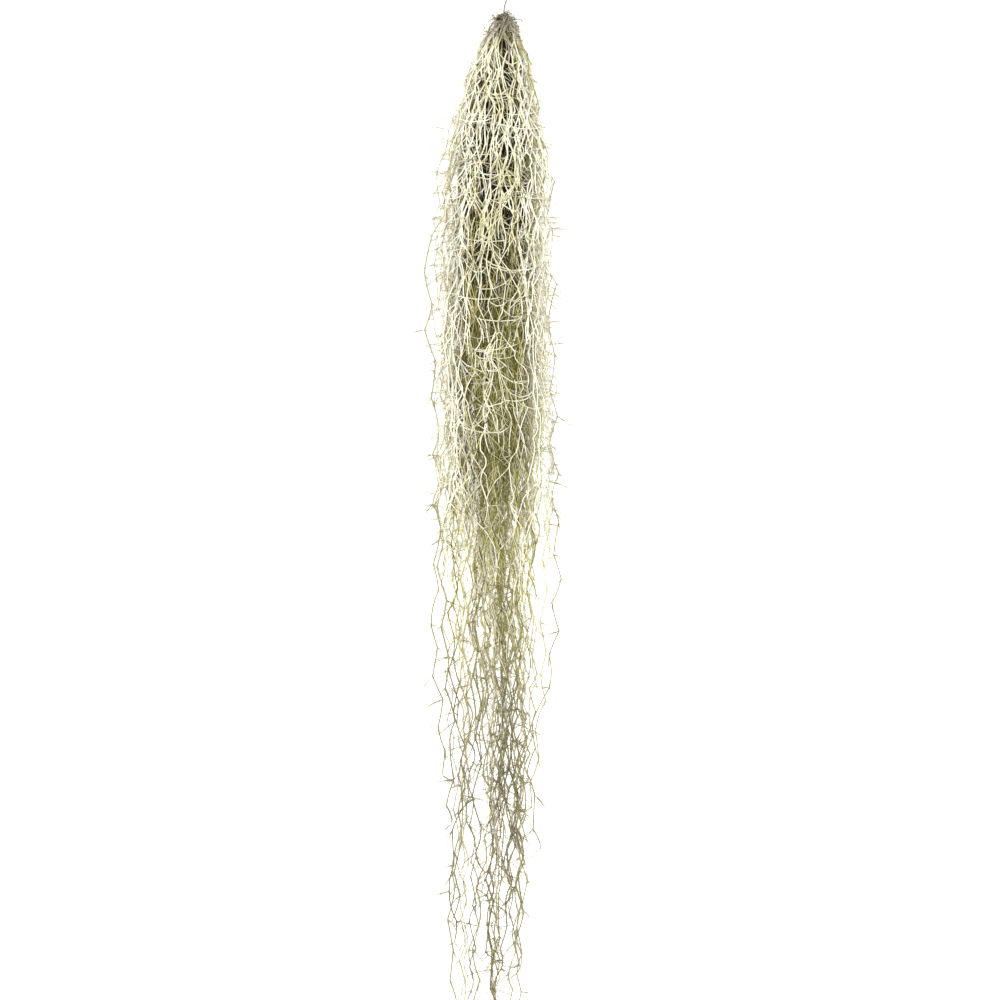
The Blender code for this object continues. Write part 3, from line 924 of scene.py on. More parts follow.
@dataclass(frozen=True)
class MossTissue:
    """Living Spanish moss: a wiry green shoot under a coat of tiny silver scales.

    The scales scatter light like felt, so the moss is a matt silvery cream. Moss deep in the bunch is painted olive,
    and near the head almost black, as painted shade between the strands. Old outer threads dry to a grey brown. The
    scales are too fine to show, so their mottling is drawn 5 mm wide, and whole shoots differ over 70 mm.
    """

    name: str = "scaly_moss_tissue"
    shades: tuple[tuple[float, str], ...] = (
        (0.0, "#4E4520"),
        (0.35, "#938C49"),
        (0.70, "#DBD396"),
        (1.0, "#FFFCEC"),
    )
    green: str = "#97A35F"
    dry: str = "#8A8274"
    # inner and deepest are painted shade: the colours that moss deep in the bunch is painted, deepest near the head.
    inner: str = "#7B753C"
    painted_deepest_shade: str = "#1C1404"
    roughness: float = 0.8
    shine: float = 0.12
    sheen: float = 0.02
    sheen_roughness: float = 0.5
    mottle_mm: float = 5.0
    blotch_mm: float = 70.0
    mottling: float = 0.35
    blotching: float = 0.5
    bump_mm: float = 0.12
    bump_strength: float = 0.4
    green_from: Span = (0.78, 1.0)
    greenest: float = 0.5
    dry_to: Span = (0.0, 0.25)
    driest: float = 0.55
    weathers: Span = (0.0, 2.0)

    def make(self) -> Material:
        """Builds the material from the attributes tone, hue, depth, head and loose; depth and head set its painted
        shade.
        """
        surface = {"Roughness": self.roughness, "Specular IOR Level": self.shine}
        surface |= {"Sheen Weight": self.sheen, "Sheen Roughness": self.sheen_roughness}
        material, shader = new_material(self.name, surface)
        tree = material.node_tree
        place = add_node(tree, "ShaderNodeTexCoord").outputs["Object"]
        reads = {
            label: add_node(tree, "ShaderNodeAttribute", attribute_name=label).outputs["Fac"]
            for label in ("tone", "hue", "painted_shade_depth", "head", "loose")
        }
        mottle, blotch = (
            add_node(tree, "ShaderNodeTexNoise", {"Vector": place, "Scale": 1000.0 / size_mm, "Detail": 2.0})
            for size_mm in (self.mottle_mm, self.blotch_mm)
        )
        tone = reads["tone"]
        for noise, strength in ((mottle, self.mottling), (blotch, self.blotching)):
            tone = add_node(tree, "ShaderNodeMath", {0: noise, 1: strength, 2: tone}, operation="MULTIPLY_ADD")
        half = 0.5 * (self.mottling + self.blotching)
        tone = add_node(tree, "ShaderNodeMath", {0: tone, 1: half}, operation="SUBTRACT")
        ramp = add_node(tree, "ShaderNodeValToRGB", {"Fac": tone})
        stops = ramp.color_ramp.elements
        while len(stops) < len(self.shades):
            stops.new(0.5)
        for stop, (position, shade) in zip(stops, self.shades):
            stop.position, stop.color = position, linear(shade)
        greenness, dryness, weathering = (
            add_node(
                tree,
                "ShaderNodeMapRange",
                {"Value": reads[label], "From Min": low, "From Max": high, "To Min": at_low, "To Max": at_high},
            )
            for label, (low, high), at_low, at_high in (
                ("hue", self.green_from, 0.0, self.greenest),
                ("hue", self.dry_to, self.driest, 0.0),
                ("loose", self.weathers, 0.0, 1.0),
            )
        )
        # Painted shade: the deeper the moss lies in the bunch, the more it is mixed towards olive, and near the head
        # towards almost black.
        shade = {"Factor": reads["head"], "A": linear(self.inner), "B": linear(self.painted_deepest_shade)}
        shade = add_node(tree, "ShaderNodeMix", shade, data_type="RGBA")
        colour = ramp
        for share, second in (
            (greenness, linear(self.green)),
            (dryness, linear(self.dry)),
            (weathering, linear(self.dry)),
            (reads["painted_shade_depth"], shade),
        ):
            colour = {"Factor": share, "A": colour, "B": second}
            colour = add_node(tree, "ShaderNodeMix", colour, data_type="RGBA")
        relief = {"Height": mottle, "Strength": self.bump_strength, "Distance": self.bump_mm / 1000.0}
        set_inputs(shader, {"Base Color": colour, "Normal": add_node(tree, "ShaderNodeBump", relief)})
        return material


@dataclass(frozen=True)
class AnnealedWire:
    """Dark annealed steel wire: drawn, then softened in a furnace, which leaves a thin blue-black scale."""

    name: str = "annealed_steel_wire"
    colour: str = "#3A3A40"
    worn: str = "#77757A"
    metallic: float = 0.85
    roughness: float = 0.42
    mottle_mm: float = 1.5
    wears_from: Span = (0.52, 0.72)

    def make(self) -> Material:
        """Builds the material: dark metal, rubbed brighter in places."""
        surface = {"Metallic": self.metallic, "Roughness": self.roughness}
        material, shader = new_material(self.name, surface)
        tree = material.node_tree
        place = add_node(tree, "ShaderNodeTexCoord").outputs["Object"]
        patches = {"Vector": place, "Scale": 1000.0 / self.mottle_mm, "Detail": 2.0}
        patches = add_node(tree, "ShaderNodeTexNoise", patches)
        low, high = self.wears_from
        rubbed = add_node(tree, "ShaderNodeMapRange", {"Value": patches, "From Min": low, "From Max": high})
        colours = {"Factor": rubbed, "A": linear(self.colour), "B": linear(self.worn)}
        set_inputs(shader, {"Base Color": add_node(tree, "ShaderNodeMix", colours, data_type="RGBA")})
        return material


@dataclass
class MossLock:
    """One lock of moss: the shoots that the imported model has, the many that fill it, and their leaves."""

    lane: Lane
    shoots: ShootRules
    fill: FillRules
    guide_rules: GuideRules
    leaves: LeafRules
    corners: tuple[Vector, Vector]

    @property
    def name(self) -> str:
        """The name of the lock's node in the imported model."""
        return f"{self.lane.layer.name}_lock_{self.lane.number + 1}"

    @property
    def reach(self) -> Span:
        """How far across its lane the lock spreads, where 1 is half the lane's width."""
        across, spill = self.fill.across, self.lane.layer.spill
        return -across - spill * self.lane.leftmost, across + spill * self.lane.rightmost

    @property
    def middle(self) -> PackedMiddle:
        """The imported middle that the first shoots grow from."""
        return PackedMiddle(self.lane, self.lane.layer.core_ends[self.lane.number])

    def main_chains(self) -> list[Chain]:
        """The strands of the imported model, joint for joint."""
        rules, lane = self.shoots, self.lane
        draw = np.random.default_rng(lane.seed)
        chains = []
        for number, end in enumerate(lane.layer.strand_ends[lane.number]):
            outer = lane.outer and number == 0
            if outer:
                start = draw.uniform(*rules.outer_starts)
            else:
                start = self.middle.end - draw.uniform(*rules.before_end)
            side = draw.uniform(*rules.sides)
            turn = draw.uniform(rules.turn_margin, math.pi - rules.turn_margin)
            if lane.on_top:
                start = rules.upper_starts[number] + draw.uniform(0.0, rules.upper_spread)
            elif outer:
                turn = math.pi if lane.leftmost else 0.0
                side = (1.0 + rules.side_reach) * math.cos(turn)
            root = self.middle.point(start, turn, rules.root_share)
            chains.append(self.main_chain(start, root, end, side, draw))
        return chains

    def main_chain(self, start: float, root: np.ndarray, end: float, side: float, draw: Generator) -> Chain:
        """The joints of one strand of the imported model.

        Args:
            start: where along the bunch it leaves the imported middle.
            root: the point that it grows from.
            end: where along the bunch it ends.
            side: how far across the lane it lies, from -1 to 1, or beyond in an outer lane.
            draw: the lock's random draws.

        Returns:
            Its joints, from root to tip.
        """
        rules, lane = self.shoots, self.lane
        joints = [root]
        along = start
        swing = draw.choice([-1.0, 1.0])
        wander = draw.uniform(0.0, 2.0 * math.pi)
        while along < end:
            along += rules.length * draw.uniform(*rules.lengths)
            x = lane.across(along, side)
            x += rules.wander * math.sin(rules.wander_turns * along + wander)
            x += swing * rules.swing * draw.uniform(*rules.swings)
            z = lane.up(along, draw.uniform(*rules.levels))
            if lane.on_top:
                z = max(z, self.middle.top_over(along, x) + rules.proud)
            place = (x, lane.bunch.head_y - min(along, end), z)
            joints.append(lane.bend_clear(place, rules.radius))
            swing = -swing
        return joints

    def tufts(self, draw: Generator) -> list[Point]:
        """Places where several shoots start together: along, across the lane and up in it."""
        rules = self.fill
        side = rules.tuft_across
        return [(draw.uniform(*span), draw.uniform(-side, side), rules.tuft_level) for span in rules.tufts]

    def fill_chain(self, draw: Generator, tufts: list[Point]) -> Chain:
        """The joints of one filling strand.

        Args:
            draw: the random draws of the lock's filling.
            tufts: the places where shoots start together.

        Returns:
            Its joints, from root to tip.
        """
        rules, lane = self.fill, self.lane
        across = draw.uniform(*self.reach)
        level = draw.uniform(*rules.levels)
        pick = draw.uniform()
        if pick < rules.from_neck:
            start, root = draw.uniform(*rules.neck_starts), (across, level)
        elif pick < rules.from_neck + rules.from_tuft:
            tuft = tufts[int(draw.integers(len(tufts)))]
            start, root = tuft[0] + draw.uniform(0.0, rules.tuft_length), tuft[1:]
        else:
            start, root = draw.uniform(*rules.body_starts), (rules.body_root[0] * across, rules.body_root[1])
        end = self.middle.end - rules.end_short + draw.normal(0.0, rules.end_spread)
        end = min(max(end, rules.earliest_end, start + rules.least_length), rules.latest_end)
        if draw.uniform() < rules.long_share:
            nearest, farthest = rules.long_ends
            end = nearest + (farthest - nearest) * draw.uniform() ** rules.long_lean
        along = self.places(draw, start, end, rules.internode)
        reach = draw.uniform(*rules.wander)
        turn = 2.0 * math.pi * along / draw.uniform(*rules.wander_length) + draw.uniform(0.0, 2.0 * math.pi)
        gathered = 1.0 - smooth(along, start, start + rules.gather)
        spread = smooth(along, *rules.spreads)
        u = across + (root[0] - across) * gathered + reach * np.sin(turn) * spread
        crown = rules.crown + (1.0 - rules.crown) * smooth(along, *rules.crown_ends)
        v = np.clip(level + (root[1] - level) * gathered, 0.0, 1.0) * crown
        x = lane.across(along, u) + self.zigzag(draw, along) * smooth(along, *rules.zigzag_starts)
        z = lane.up(along, v) + draw.normal(0.0, 1.0, len(along)) * rules.lift * spread
        return self.settled(x, along, z)

    @staticmethod
    def places(draw: Generator, start: float, end: float, internode: Span) -> np.ndarray:
        """Places of the joints along the bunch.

        Args:
            draw: the random draws.
            start: the first joint's place.
            end: the last joint's place.
            internode: how far apart joints may be.

        Returns:
            The places, from start to end.
        """
        places = [start]
        while places[-1] < end:
            places.append(places[-1] + draw.uniform(*internode))
        return start + (np.array(places) - start) * (end - start) / (places[-1] - start)

    def zigzag(self, draw: Generator, along: np.ndarray) -> np.ndarray:
        """Sideways steps of the joints, which grow towards the tail."""
        rules = self.fill
        small, large = rules.zigzag
        size = small + (large - small) * smooth(along, *rules.zigzag_grows)
        side = np.where(np.arange(len(along)) % 2 == 0, 1.0, -1.0)
        return side * draw.uniform(*rules.zigzag_shares, len(along)) * size

    def settled(self, x: np.ndarray, along: np.ndarray, z: np.ndarray) -> Chain:
        """Rounds the bunch's cross section, pinches its very top and keeps it off the table.

        Args:
            x: sideways places.
            along: places along the bunch.
            z: heights in a square cross section.

        Returns:
            The joints.
        """
        bunch, rules = self.lane.bunch, self.fill
        base, middle = bunch.underside(along), bunch.middle(along)
        z = base + (z - base) * (1.0 - bunch.fall(x, along))
        pinch = rules.neck_pinch + (1.0 - rules.neck_pinch) * smooth(along, 0.0, rules.pinch_ends)
        half_height = base + 0.5 * bunch.height(along)
        return self.joints(middle + (x - middle) * pinch, along, half_height + (z - half_height) * pinch)

    def joints(self, x: np.ndarray, along: np.ndarray, z: np.ndarray) -> Chain:
        """Joints at these places, kept over the table and under the top of the bunch."""
        z = np.clip(z, self.guide_rules.lowest, self.fill.highest)
        return [np.array(joint) for joint in zip(x, self.lane.bunch.head_y - along, z)]

    def laid_over(self, draw: Generator, x: np.ndarray, along: np.ndarray) -> Chain:
        """Joints that lie on the rounded top of the bunch."""
        lift = draw.uniform(*self.fill.drape_lift, len(along))
        return self.joints(x, along, self.lane.bunch.top(x, along) + lift)

    def draped_chains(self, draw: Generator) -> list[tuple[Chain, StrandStyle]]:
        """One bright strand that lies over the lock, and the shoots that branch from it.

        Args:
            draw: the random draws of the lock's draped strands.

        Returns:
            The strand's joints and those of its branches, each with its style.
        """
        rules, lane, bunch = self.fill, self.lane, self.lane.bunch
        first, last = rules.drape_starts
        start = first + (last - first) * draw.uniform() ** rules.drape_lean
        along = self.places(draw, start, start + draw.uniform(*rules.drape_lengths), rules.drape_internode)
        turn = 2.0 * math.pi * along / draw.uniform(*rules.drape_turns) + draw.uniform(0.0, 2.0 * math.pi)
        u = draw.uniform(*self.reach)
        u = u + draw.uniform(*rules.drape_reach) * np.sin(turn) * smooth(along, *rules.spreads)
        at_head = rules.drape_head_zigzag
        zigzag = rules.drape_zigzag * self.zigzag(draw, along)
        zigzag = zigzag * (at_head - (at_head - 1.0) * smooth(along, *rules.drape_head_ends))
        x = bunch.parted(lane.across(along, u) + zigzag, along, rules.drape_parting)
        chain = self.laid_over(draw, x, along)
        chains = [(chain, DRAPED)]
        for index in range(1, len(along) - 1):
            if draw.uniform() > rules.branch_share:
                continue
            side = draw.choice([-1.0, 1.0])
            count = int(draw.integers(*rules.branch_joints))
            steps = along[index] + np.cumsum(draw.uniform(*rules.branch_internode, count))
            shares = np.linspace(1.0, rules.branch_fades, count)
            aside = side * np.cumsum(draw.uniform(*rules.branch_aside, count) * shares)
            twig_x = self.kept_over(x[index] + aside, steps, rules.branch_edge)
            chains.append(([chain[index], *self.laid_over(draw, twig_x, steps)], BRANCH))
        return chains

    def kept_over(self, x: np.ndarray, along: np.ndarray, reach: float) -> np.ndarray:
        """Sideways places, held to that share of the bunch's half width."""
        middle, edge = self.lane.bunch.middle(along), reach * self.lane.bunch.half_width(along)
        return np.clip(x, middle - edge, middle + edge)

    def arc_chain(self, draw: Generator) -> Chain:
        """A thread that crosses the lock and sags between its ends."""
        rules, bunch = self.fill, self.lane.bunch
        place, reach = draw.uniform(*rules.arc_places), draw.uniform(*rules.arc_reach)
        reach = min(reach, rules.arc_room * float(bunch.half_width(place)))
        share = np.linspace(-1.0, 1.0, rules.arc_steps + 1)
        middle = draw.uniform(*self.lane.sides(place))
        along = place + draw.uniform(*rules.arc_sag) * (1.0 - share**2) + draw.normal(0.0, rules.arc_slant) * share
        chain = self.laid_over(draw, self.kept_over(middle + reach * share, along, rules.arc_edge), along)
        for end in (chain[0], chain[-1]):
            end[2] = max(end[2] - rules.arc_dive, self.guide_rules.lowest)
        return chain

    def fringe_chain(self, draw: Generator) -> Chain:
        """A thin strand that hangs loose beside the body, on the side of this outer lock."""
        rules, bunch = self.fill, self.lane.bunch
        start = draw.uniform(*rules.fringe_starts)
        along = self.places(draw, start, start + draw.uniform(*rules.fringe_lengths), rules.internode)
        side = -1.0 if self.lane.leftmost else 1.0
        root, place = rules.fringe_root, draw.uniform(*rules.fringe_places)
        out = root + (place - root) * smooth(along, start, start + rules.fringe_parts_in)
        x = bunch.middle(along) + side * bunch.half_width(along) * out + self.zigzag(draw, along)
        z = self.lane.up(along, draw.uniform(*rules.fringe_levels)) + draw.normal(0.0, rules.lift, len(along))
        return self.settled(x, along, z)

    def loosened(self, draw: Generator, chain: Chain) -> Chain:
        """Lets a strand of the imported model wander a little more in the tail."""
        rules = self.fill
        phase, length = draw.uniform(0.0, 2.0 * math.pi), draw.uniform(*rules.tail_wander_length)
        moved = []
        for joint in chain:
            along = self.lane.bunch.head_y - joint[1]
            sway = rules.tail_wander * math.sin(2.0 * math.pi * along / length + phase)
            moved.append(joint + (sway * float(smooth(along, *rules.tail_wander_from)), 0.0, 0.0))
        return moved

    def guides(self) -> Object:
        """Makes the lock's guide lines."""
        rules, layer, lane = self.fill, self.lane.layer, self.lane
        lines = GuideLines(lane.bunch, self.guide_rules, lane.seed + 2000)
        draw = np.random.default_rng(lane.seed + 1000)
        for chain in self.main_chains():
            lines.add(self.loosened(draw, chain), MAIN)
        tufts = self.tufts(draw)
        for _ in range(layer.packed):
            bright = draw.uniform() < rules.bright_share
            lines.add(self.fill_chain(draw, tufts), PACKED, rules.bright_tone if bright else None)
        for _ in range(layer.draped if lane.outer or lane.on_top else 0):
            for chain, style in self.draped_chains(draw):
                lines.add(chain, style)
        for _ in range(layer.arcs):
            lines.add(self.arc_chain(draw), ARC)
        for _ in range(layer.fringe if lane.outer else 0):
            lines.add(self.fringe_chain(draw), FRINGE)
        return lines.mesh(f"{self.name}_guides")

    def build(self, trees: dict[TreeKind, TreeMaker], material: Material) -> list[Object]:
        """Builds the lock's two pieces.

        Args:
            trees: the two Geometry Nodes trees.
            material: the moss material.

        Returns:
            The shoots and the leaves.
        """
        guides = self.guides()
        (low, high), rules = self.corners, self.leaves
        leaf_values = {
            "Leaf Radius": rules.radius,
            "Turn": rules.turn,
            "Curl": rules.curl,
            "Lowest": (low.x - rules.reach, low.y - rules.reach, rules.lowest),
            "Highest": (high.x + rules.reach, high.y + rules.reach, high.z + rules.rise),
            "Material": material,
        }
        shoot_values = {**SHOOT_SIZES, "Material": material}
        pieces = [
            trees[TreeKind.SHOOTS].run(guides, f"{self.name}_shoots", shoot_values),
            trees[TreeKind.LEAVES].run(guides, f"{self.name}_leaves", leaf_values),
        ]
        bpy.data.objects.remove(guides)
        for piece in pieces:
            ShadeRules().write(piece, self.lane.bunch)
        return pieces


@dataclass(frozen=True)
class ShadeRules:
    """Where in the bunch its moss gets painted shade, a dry colour, or a brighter tone, which is painted light on
    the flanks.

    Each pair is a span: along the bunch, to the side from 0 in the middle to 1 at the edge, or under the top.
    """

    # body to mat_cover set the painted shade, which grows with how far the moss lies under the top; head and
    # head_sides set where it turns almost black.
    body: Span = (0.62, 0.86)
    cover: Span = (0.0008, 0.0050)
    edge_depth: float = 0.15
    deep_sides: Span = (0.05, 0.45)
    mat_depth: float = 0.85
    mat_cover: Span = (-0.0005, 0.004)
    head: Span = (0.30, 0.52)
    head_sides: Span = (0.45, 0.80)
    loose_sides: Span = (1.05, 1.3)
    loose_tail: Span = (0.80, 1.15)
    dry_head: Span = (0.015, 0.060)
    head_dryness: float = 1.6
    # flank_sides to lower_share set a brighter tone: painted light on the flanks, which lie in shade, and a smaller
    # lift in the lower body.
    flank_sides: Span = (0.35, 0.80)
    painted_light_flank: Span = (0.60, 0.95)
    lower: Span = (0.64, 0.84)
    lower_ends: Span = (1.0, 1.2)
    brighter: float = 0.42
    lower_share: float = 0.35

    def write(self, piece: Object, bunch: BunchShape) -> None:
        """Writes what the material reads at each point of a piece, and brightens its flanks with painted light.

        depth is painted shade, 0 on the outside and 1 deep in the bunch; head is 1 near the head and 0 from mid
        length on, and turns that painted shade almost black; loose is 1 for threads that stand clear of the body.

        Args:
            piece: the moss piece.
            bunch: the outline of the bunch.
        """
        data = piece.data
        places = np.empty(len(data.vertices) * 3, np.float32)
        data.vertices.foreach_get("co", places)
        x, y, z = places.reshape(-1, 3).astype(float).T
        along = bunch.head_y - y
        aside = bunch.aside(x, along)
        cover = bunch.top(x, along) - z
        # Painted shade: the deeper a point lies under the top, the darker it is painted. It is weaker at the edges,
        # absent in the tail, and starts nearer the top in the packed middle.
        inwards = self.edge_depth + (1.0 - self.edge_depth) * smooth(1.0 - aside, *self.deep_sides)
        painted_shade_depth = smooth(cover, *self.cover) * inwards * (1.0 - smooth(along, *self.body))
        painted_shade_depth = np.maximum(painted_shade_depth, self.mat_depth * bunch.mat(x, along) * smooth(cover, *self.mat_cover))
        head = (1.0 - smooth(along, *self.head)) * (1.0 - smooth(aside, *self.head_sides))
        loose = np.maximum(smooth(aside, *self.loose_sides), smooth(along, *self.loose_tail))
        loose = np.maximum(loose, self.head_dryness * (1.0 - smooth(along, *self.dry_head)))
        tone = np.empty(len(data.vertices), np.float32)
        data.attributes["tone"].data.foreach_get("value", tone)
        # Painted light: the flanks, which lie in shade, get a brighter tone, and the lower body gets a smaller lift.
        painted_light_flank = smooth(aside, *self.flank_sides) * (1.0 - smooth(along, *self.painted_light_flank))
        lower = smooth(along, *self.lower) * (1.0 - smooth(along, *self.lower_ends))
        tone = tone + self.brighter * np.maximum(painted_light_flank, self.lower_share * lower)
        for label, values in (("tone", tone), ("painted_shade_depth", painted_shade_depth), ("head", head), ("loose", loose)):
            write_values(data, label, values)


@dataclass(frozen=True)
class HeadCurls:
    """Short dry threads that curl out of the bound head and hide most of the wire."""

    bunch: BunchShape
    guide_rules: GuideRules
    count: int = 90
    seed: int = 77
    starts: Span = (0.004, 0.034)
    lengths: Span = (0.012, 0.032)
    upward: Span = (-1.2, 0.9)
    under: float = 0.35
    skin: Span = (0.9, 0.42)
    outward: float = 0.8
    joints: int = 6
    bend: float = 0.75
    highest: float = 0.040

    def chain(self, draw: Generator) -> Chain:
        """The joints of one curl, from the skin of the neck outwards."""
        bunch, start = self.bunch, draw.uniform(*self.starts)
        turn = draw.uniform(-self.under, math.pi + self.under)
        centre_z = bunch.underside(start) + 0.5 * bunch.height(start)
        wide, tall = self.skin[0] * bunch.half_width(start), self.skin[1] * bunch.height(start)
        out = np.array([math.cos(turn), 0.0, math.sin(turn)])
        place = np.array([bunch.middle(start), bunch.head_y - start, centre_z]) + out * (wide, 0.0, tall)
        heading = out * self.outward + (0.0, draw.uniform(*self.upward), 0.0)
        step = draw.uniform(*self.lengths) / self.joints
        chain = [place]
        for _ in range(self.joints):
            heading = heading + draw.normal(0.0, self.bend, 3)
            heading = heading / np.linalg.norm(heading)
            place = place + heading * step
            place[2] = min(max(place[2], self.guide_rules.lowest), self.highest)
            chain.append(place.copy())
        return chain

    def build(self, trees: dict[TreeKind, TreeMaker], material: Material) -> Object:
        """Builds the curls as one piece.

        Args:
            trees: the two Geometry Nodes trees.
            material: the moss material.

        Returns:
            The curls.
        """
        lines = GuideLines(self.bunch, self.guide_rules, self.seed)
        draw = np.random.default_rng(self.seed)
        for _ in range(self.count):
            lines.add(self.chain(draw), CURL)
        guides = lines.mesh("head_curl_guides")
        curls = trees[TreeKind.SHOOTS].run(guides, "head_curls", {**SHOOT_SIZES, "Material": material})
        bpy.data.objects.remove(guides)
        ShadeRules().write(curls, self.bunch)
        return curls


@dataclass(frozen=True)
class BindingWire:
    """The dark wire round the neck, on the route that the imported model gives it."""

    bunch: BunchShape
    radius: float = 0.0006
    drawn_radius: float = 0.00075
    turns: int = 3
    middle: float = 0.0102
    pitch: float = 0.0016
    clearance: float = 0.0005
    squareness: float = 3.0
    tail: float = 0.030
    tail_drop: float = 0.007
    tail_drops: Span = (0.45, 1.0)
    tail_aside: float = 0.006
    steps: int = 48
    tail_steps: int = 24
    roundness: int = 3

    def route(self) -> list[Point]:
        """The wire's middle line: its turns, then its tail."""
        bunch = self.bunch
        clear = self.clearance + self.radius
        centre_z = bunch.underside(self.middle) + 0.5 * bunch.height(self.middle)
        wide, tall = bunch.half_width(self.middle) + clear, 0.5 * bunch.height(self.middle) + clear
        centre_x = bunch.middle(self.middle)
        points = []
        for step in range(self.turns * self.steps + 1):
            turn = 0.5 * math.pi + 2.0 * math.pi * step / self.steps
            back = self.middle + self.pitch * (self.turns / 2.0 - step / self.steps)
            across, up = math.cos(turn), math.sin(turn)
            squared = (abs(across) ** self.squareness + abs(up) ** self.squareness) ** (-1.0 / self.squareness)
            z = max(centre_z + tall * up * squared, self.drawn_radius)
            points.append((centre_x + wide * across * squared, bunch.head_y - back, z))
        x, y, z = points[-1]
        for step in range(1, self.tail_steps + 1):
            share = step / self.tail_steps
            drop = self.tail_drop * float(smooth(share, *self.tail_drops))
            points.append((x + self.tail_aside * share**2, y + self.tail * share, z - drop))
        return points

    def build(self, material: Material) -> Object:
        """Builds the wire as a round closed tube and dresses it.

        Args:
            material: the wire's material.

        Returns:
            The wire.
        """
        points = self.route()
        data = bpy.data.curves.new("wire_route", "CURVE")
        data.dimensions = "3D"
        data.bevel_depth = self.drawn_radius
        data.bevel_resolution = self.roundness
        data.use_fill_caps = True
        spline = data.splines.new("POLY")
        spline.points.add(len(points) - 1)
        for knot, place in zip(spline.points, points):
            knot.co = (*place, 1.0)
        route = add_object("wire_route", data)
        wire = plain_copy(route, "binding_wire")
        bpy.data.objects.remove(route)
        wire.data.materials.clear()
        wire.data.materials.append(material)
        wire.data.shade_smooth()
        return wire


@dataclass(frozen=True)
class Studio:
    """A near-white floor, soft light from above and the camera that looks down on the bunch."""

    camera_x: float = 0.010
    aim_y: float = -0.213
    aim_z: float = 0.03
    distance: float = 3.0
    tilt_per_metre: float = 0.0515
    half_frame: float = 0.779
    sensor: float = 36.0
    farthest: float = 50.0
    floor_size: float = 14.0
    floor_colour: str = "#F7F7F5"
    floor_glow: float = 0.42
    floor_roughness: float = 0.9
    floor_shine: float = 0.1
    sky_strength: float = 0.26
    sky_colour: str = "#F8F1D0"
    backdrop: str = "#FFFFFF"
    sun_strength: float = 3.7
    sun_softness: float = 9.0
    sun_lean: Span = (-0.10, -0.08)

    def camera(self) -> None:
        """Adds the camera over the bunch, a little nearer its head than its tail."""
        tilt = math.asin(self.tilt_per_metre * self.distance)
        data = bpy.data.cameras.new("camera")
        data.sensor_width = self.sensor
        data.lens = self.sensor * 0.5 * self.distance / (self.half_frame * math.cos(tilt))
        data.clip_end = self.farthest
        camera = add_object("camera", data)
        back, up = self.distance * math.sin(tilt), self.distance * math.cos(tilt)
        camera.location = (self.camera_x, self.aim_y + back, self.aim_z + up)
        camera.rotation_euler = (-tilt, 0.0, 0.0)
        bpy.context.scene.camera = camera

    def floor(self) -> None:
        """Adds the floor that the bunch lies on, lit from within so that shadows on it stay faint."""
        bpy.ops.mesh.primitive_plane_add(size=self.floor_size)
        floor = bpy.context.active_object
        floor.name = "floor"
        surface = {"Roughness": self.floor_roughness, "Specular IOR Level": self.floor_shine}
        surface |= dict.fromkeys(("Base Color", "Emission Color"), linear(self.floor_colour))
        material, _ = new_material("lit_white_board", {**surface, "Emission Strength": self.floor_glow})
        floor.data.materials.append(material)
        floor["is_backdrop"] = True

    def light(self) -> None:
        """Adds an even sky and one soft lamp, as far as the sun."""
        world = bpy.data.worlds.new("soft_sky")
        world.use_nodes = True
        tree = world.node_tree
        seen = add_node(tree, "ShaderNodeLightPath").outputs["Is Camera Ray"]
        hue = {"Factor": seen, "A": linear(self.sky_colour), "B": linear(self.backdrop)}
        hue = add_node(tree, "ShaderNodeMix", hue, data_type="RGBA")
        strength = {0: seen, 1: 1.0 - self.sky_strength, 2: self.sky_strength}
        strength = add_node(tree, "ShaderNodeMath", strength, operation="MULTIPLY_ADD")
        set_inputs(tree.nodes["Background"], {"Color": hue, "Strength": strength})
        bpy.context.scene.world = world
        data = bpy.data.lights.new("key", "SUN")
        data.energy = self.sun_strength
        data.angle = math.radians(self.sun_softness)
        lamp = add_object("key", data)
        lamp.location = (0.0, 0.0, 2.0)
        lamp.rotation_euler = (*self.sun_lean, 0.0)

    def build(self) -> None:
        """Adds everything and keeps plain, true colours."""
        self.camera()
        self.floor()
        self.light()
        bpy.context.scene.view_settings.view_transform = "Standard"


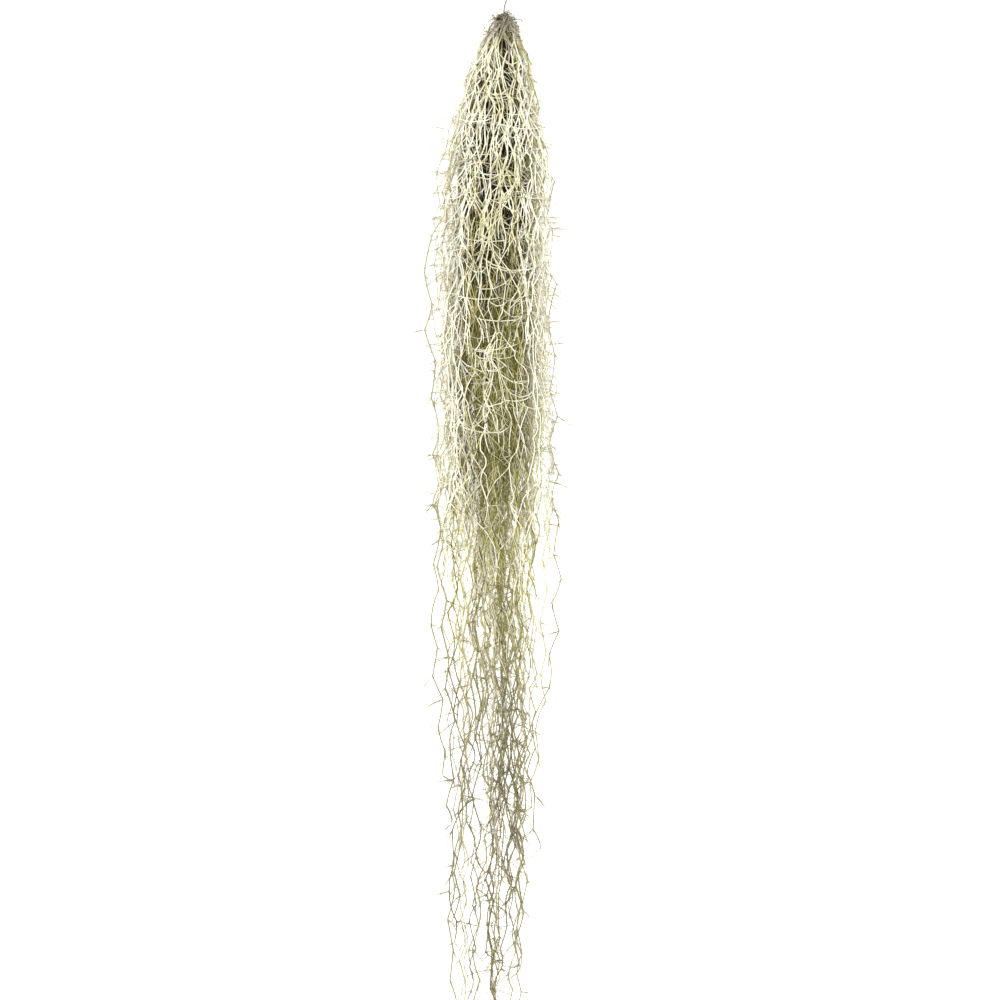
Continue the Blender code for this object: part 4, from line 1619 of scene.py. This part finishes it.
SHOOT_SIZES = {"Sides": 4, "Thickness": 1.0}
LAYERS = (
    Layer(
        name="under", low=0.0, high=0.36, width=1.0, neck_width=0.74, phase=0.4,
        core_ends=(0.99, 1.08, 0.94),
        strand_ends=((1.18, 1.46, 1.10), (1.64, 1.52, 1.22), (1.30, 1.36, 1.16)),
        first_seed=11, spill=0.0, packed=22, draped=3, arcs=0, fringe=7,
    ),
    Layer(
        name="middle", low=0.36, high=0.69, width=0.87, neck_width=1.0, phase=2.1,
        core_ends=(0.94, 1.13, 1.08, 0.90),
        strand_ends=((1.26, 1.56), (1.65, 1.34), (1.60, 1.48), (1.24, 1.40)),
        first_seed=14, spill=0.12, packed=24, draped=6, arcs=3, fringe=8,
    ),
    Layer(
        name="upper", low=0.69, high=1.0, width=0.64, neck_width=0.72, phase=4.0,
        core_ends=(0.84, 1.03, 0.90),
        strand_ends=((1.12, 1.42, 0.96), (1.58, 1.20, 1.06), (1.28, 1.50, 0.98)),
        first_seed=18, spill=0.32, packed=36, draped=9, arcs=13, fringe=2,
    ),
)  # fmt: skip


def main() -> None:
    """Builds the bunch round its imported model, then the studio."""
    logging.basicConfig(level=logging.INFO, format="%(name)s: %(message)s")
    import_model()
    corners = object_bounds()
    bunch = BunchShape()
    leaf_rules = LeafRules()
    trees = {TreeKind.SHOOTS: shoot_tree(), TreeKind.LEAVES: leaf_tree(leaf_rules)}
    tissue = MossTissue().make()
    for layer in LAYERS:
        for number in range(layer.lanes):
            lane = Lane(bunch, layer, number)
            lock = MossLock(lane, ShootRules(), FillRules(), GuideRules(), leaf_rules, corners)
            pieces = lock.build(trees, tissue)
            for piece in pieces:
                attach(piece, BODY)
                LOG.info("%s: %d faces", piece.name, len(piece.data.polygons))
            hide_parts(lock.name)
    curls = HeadCurls(bunch, GuideRules()).build(trees, tissue)
    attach(curls, BODY)
    wire = BindingWire(bunch).build(AnnealedWire().make())
    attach(wire, BODY)
    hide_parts("tie_wire")
    LOG.info("%s: %d faces", wire.name, len(wire.data.polygons))
    Studio().build()


if __name__ == "__main__":
    main()
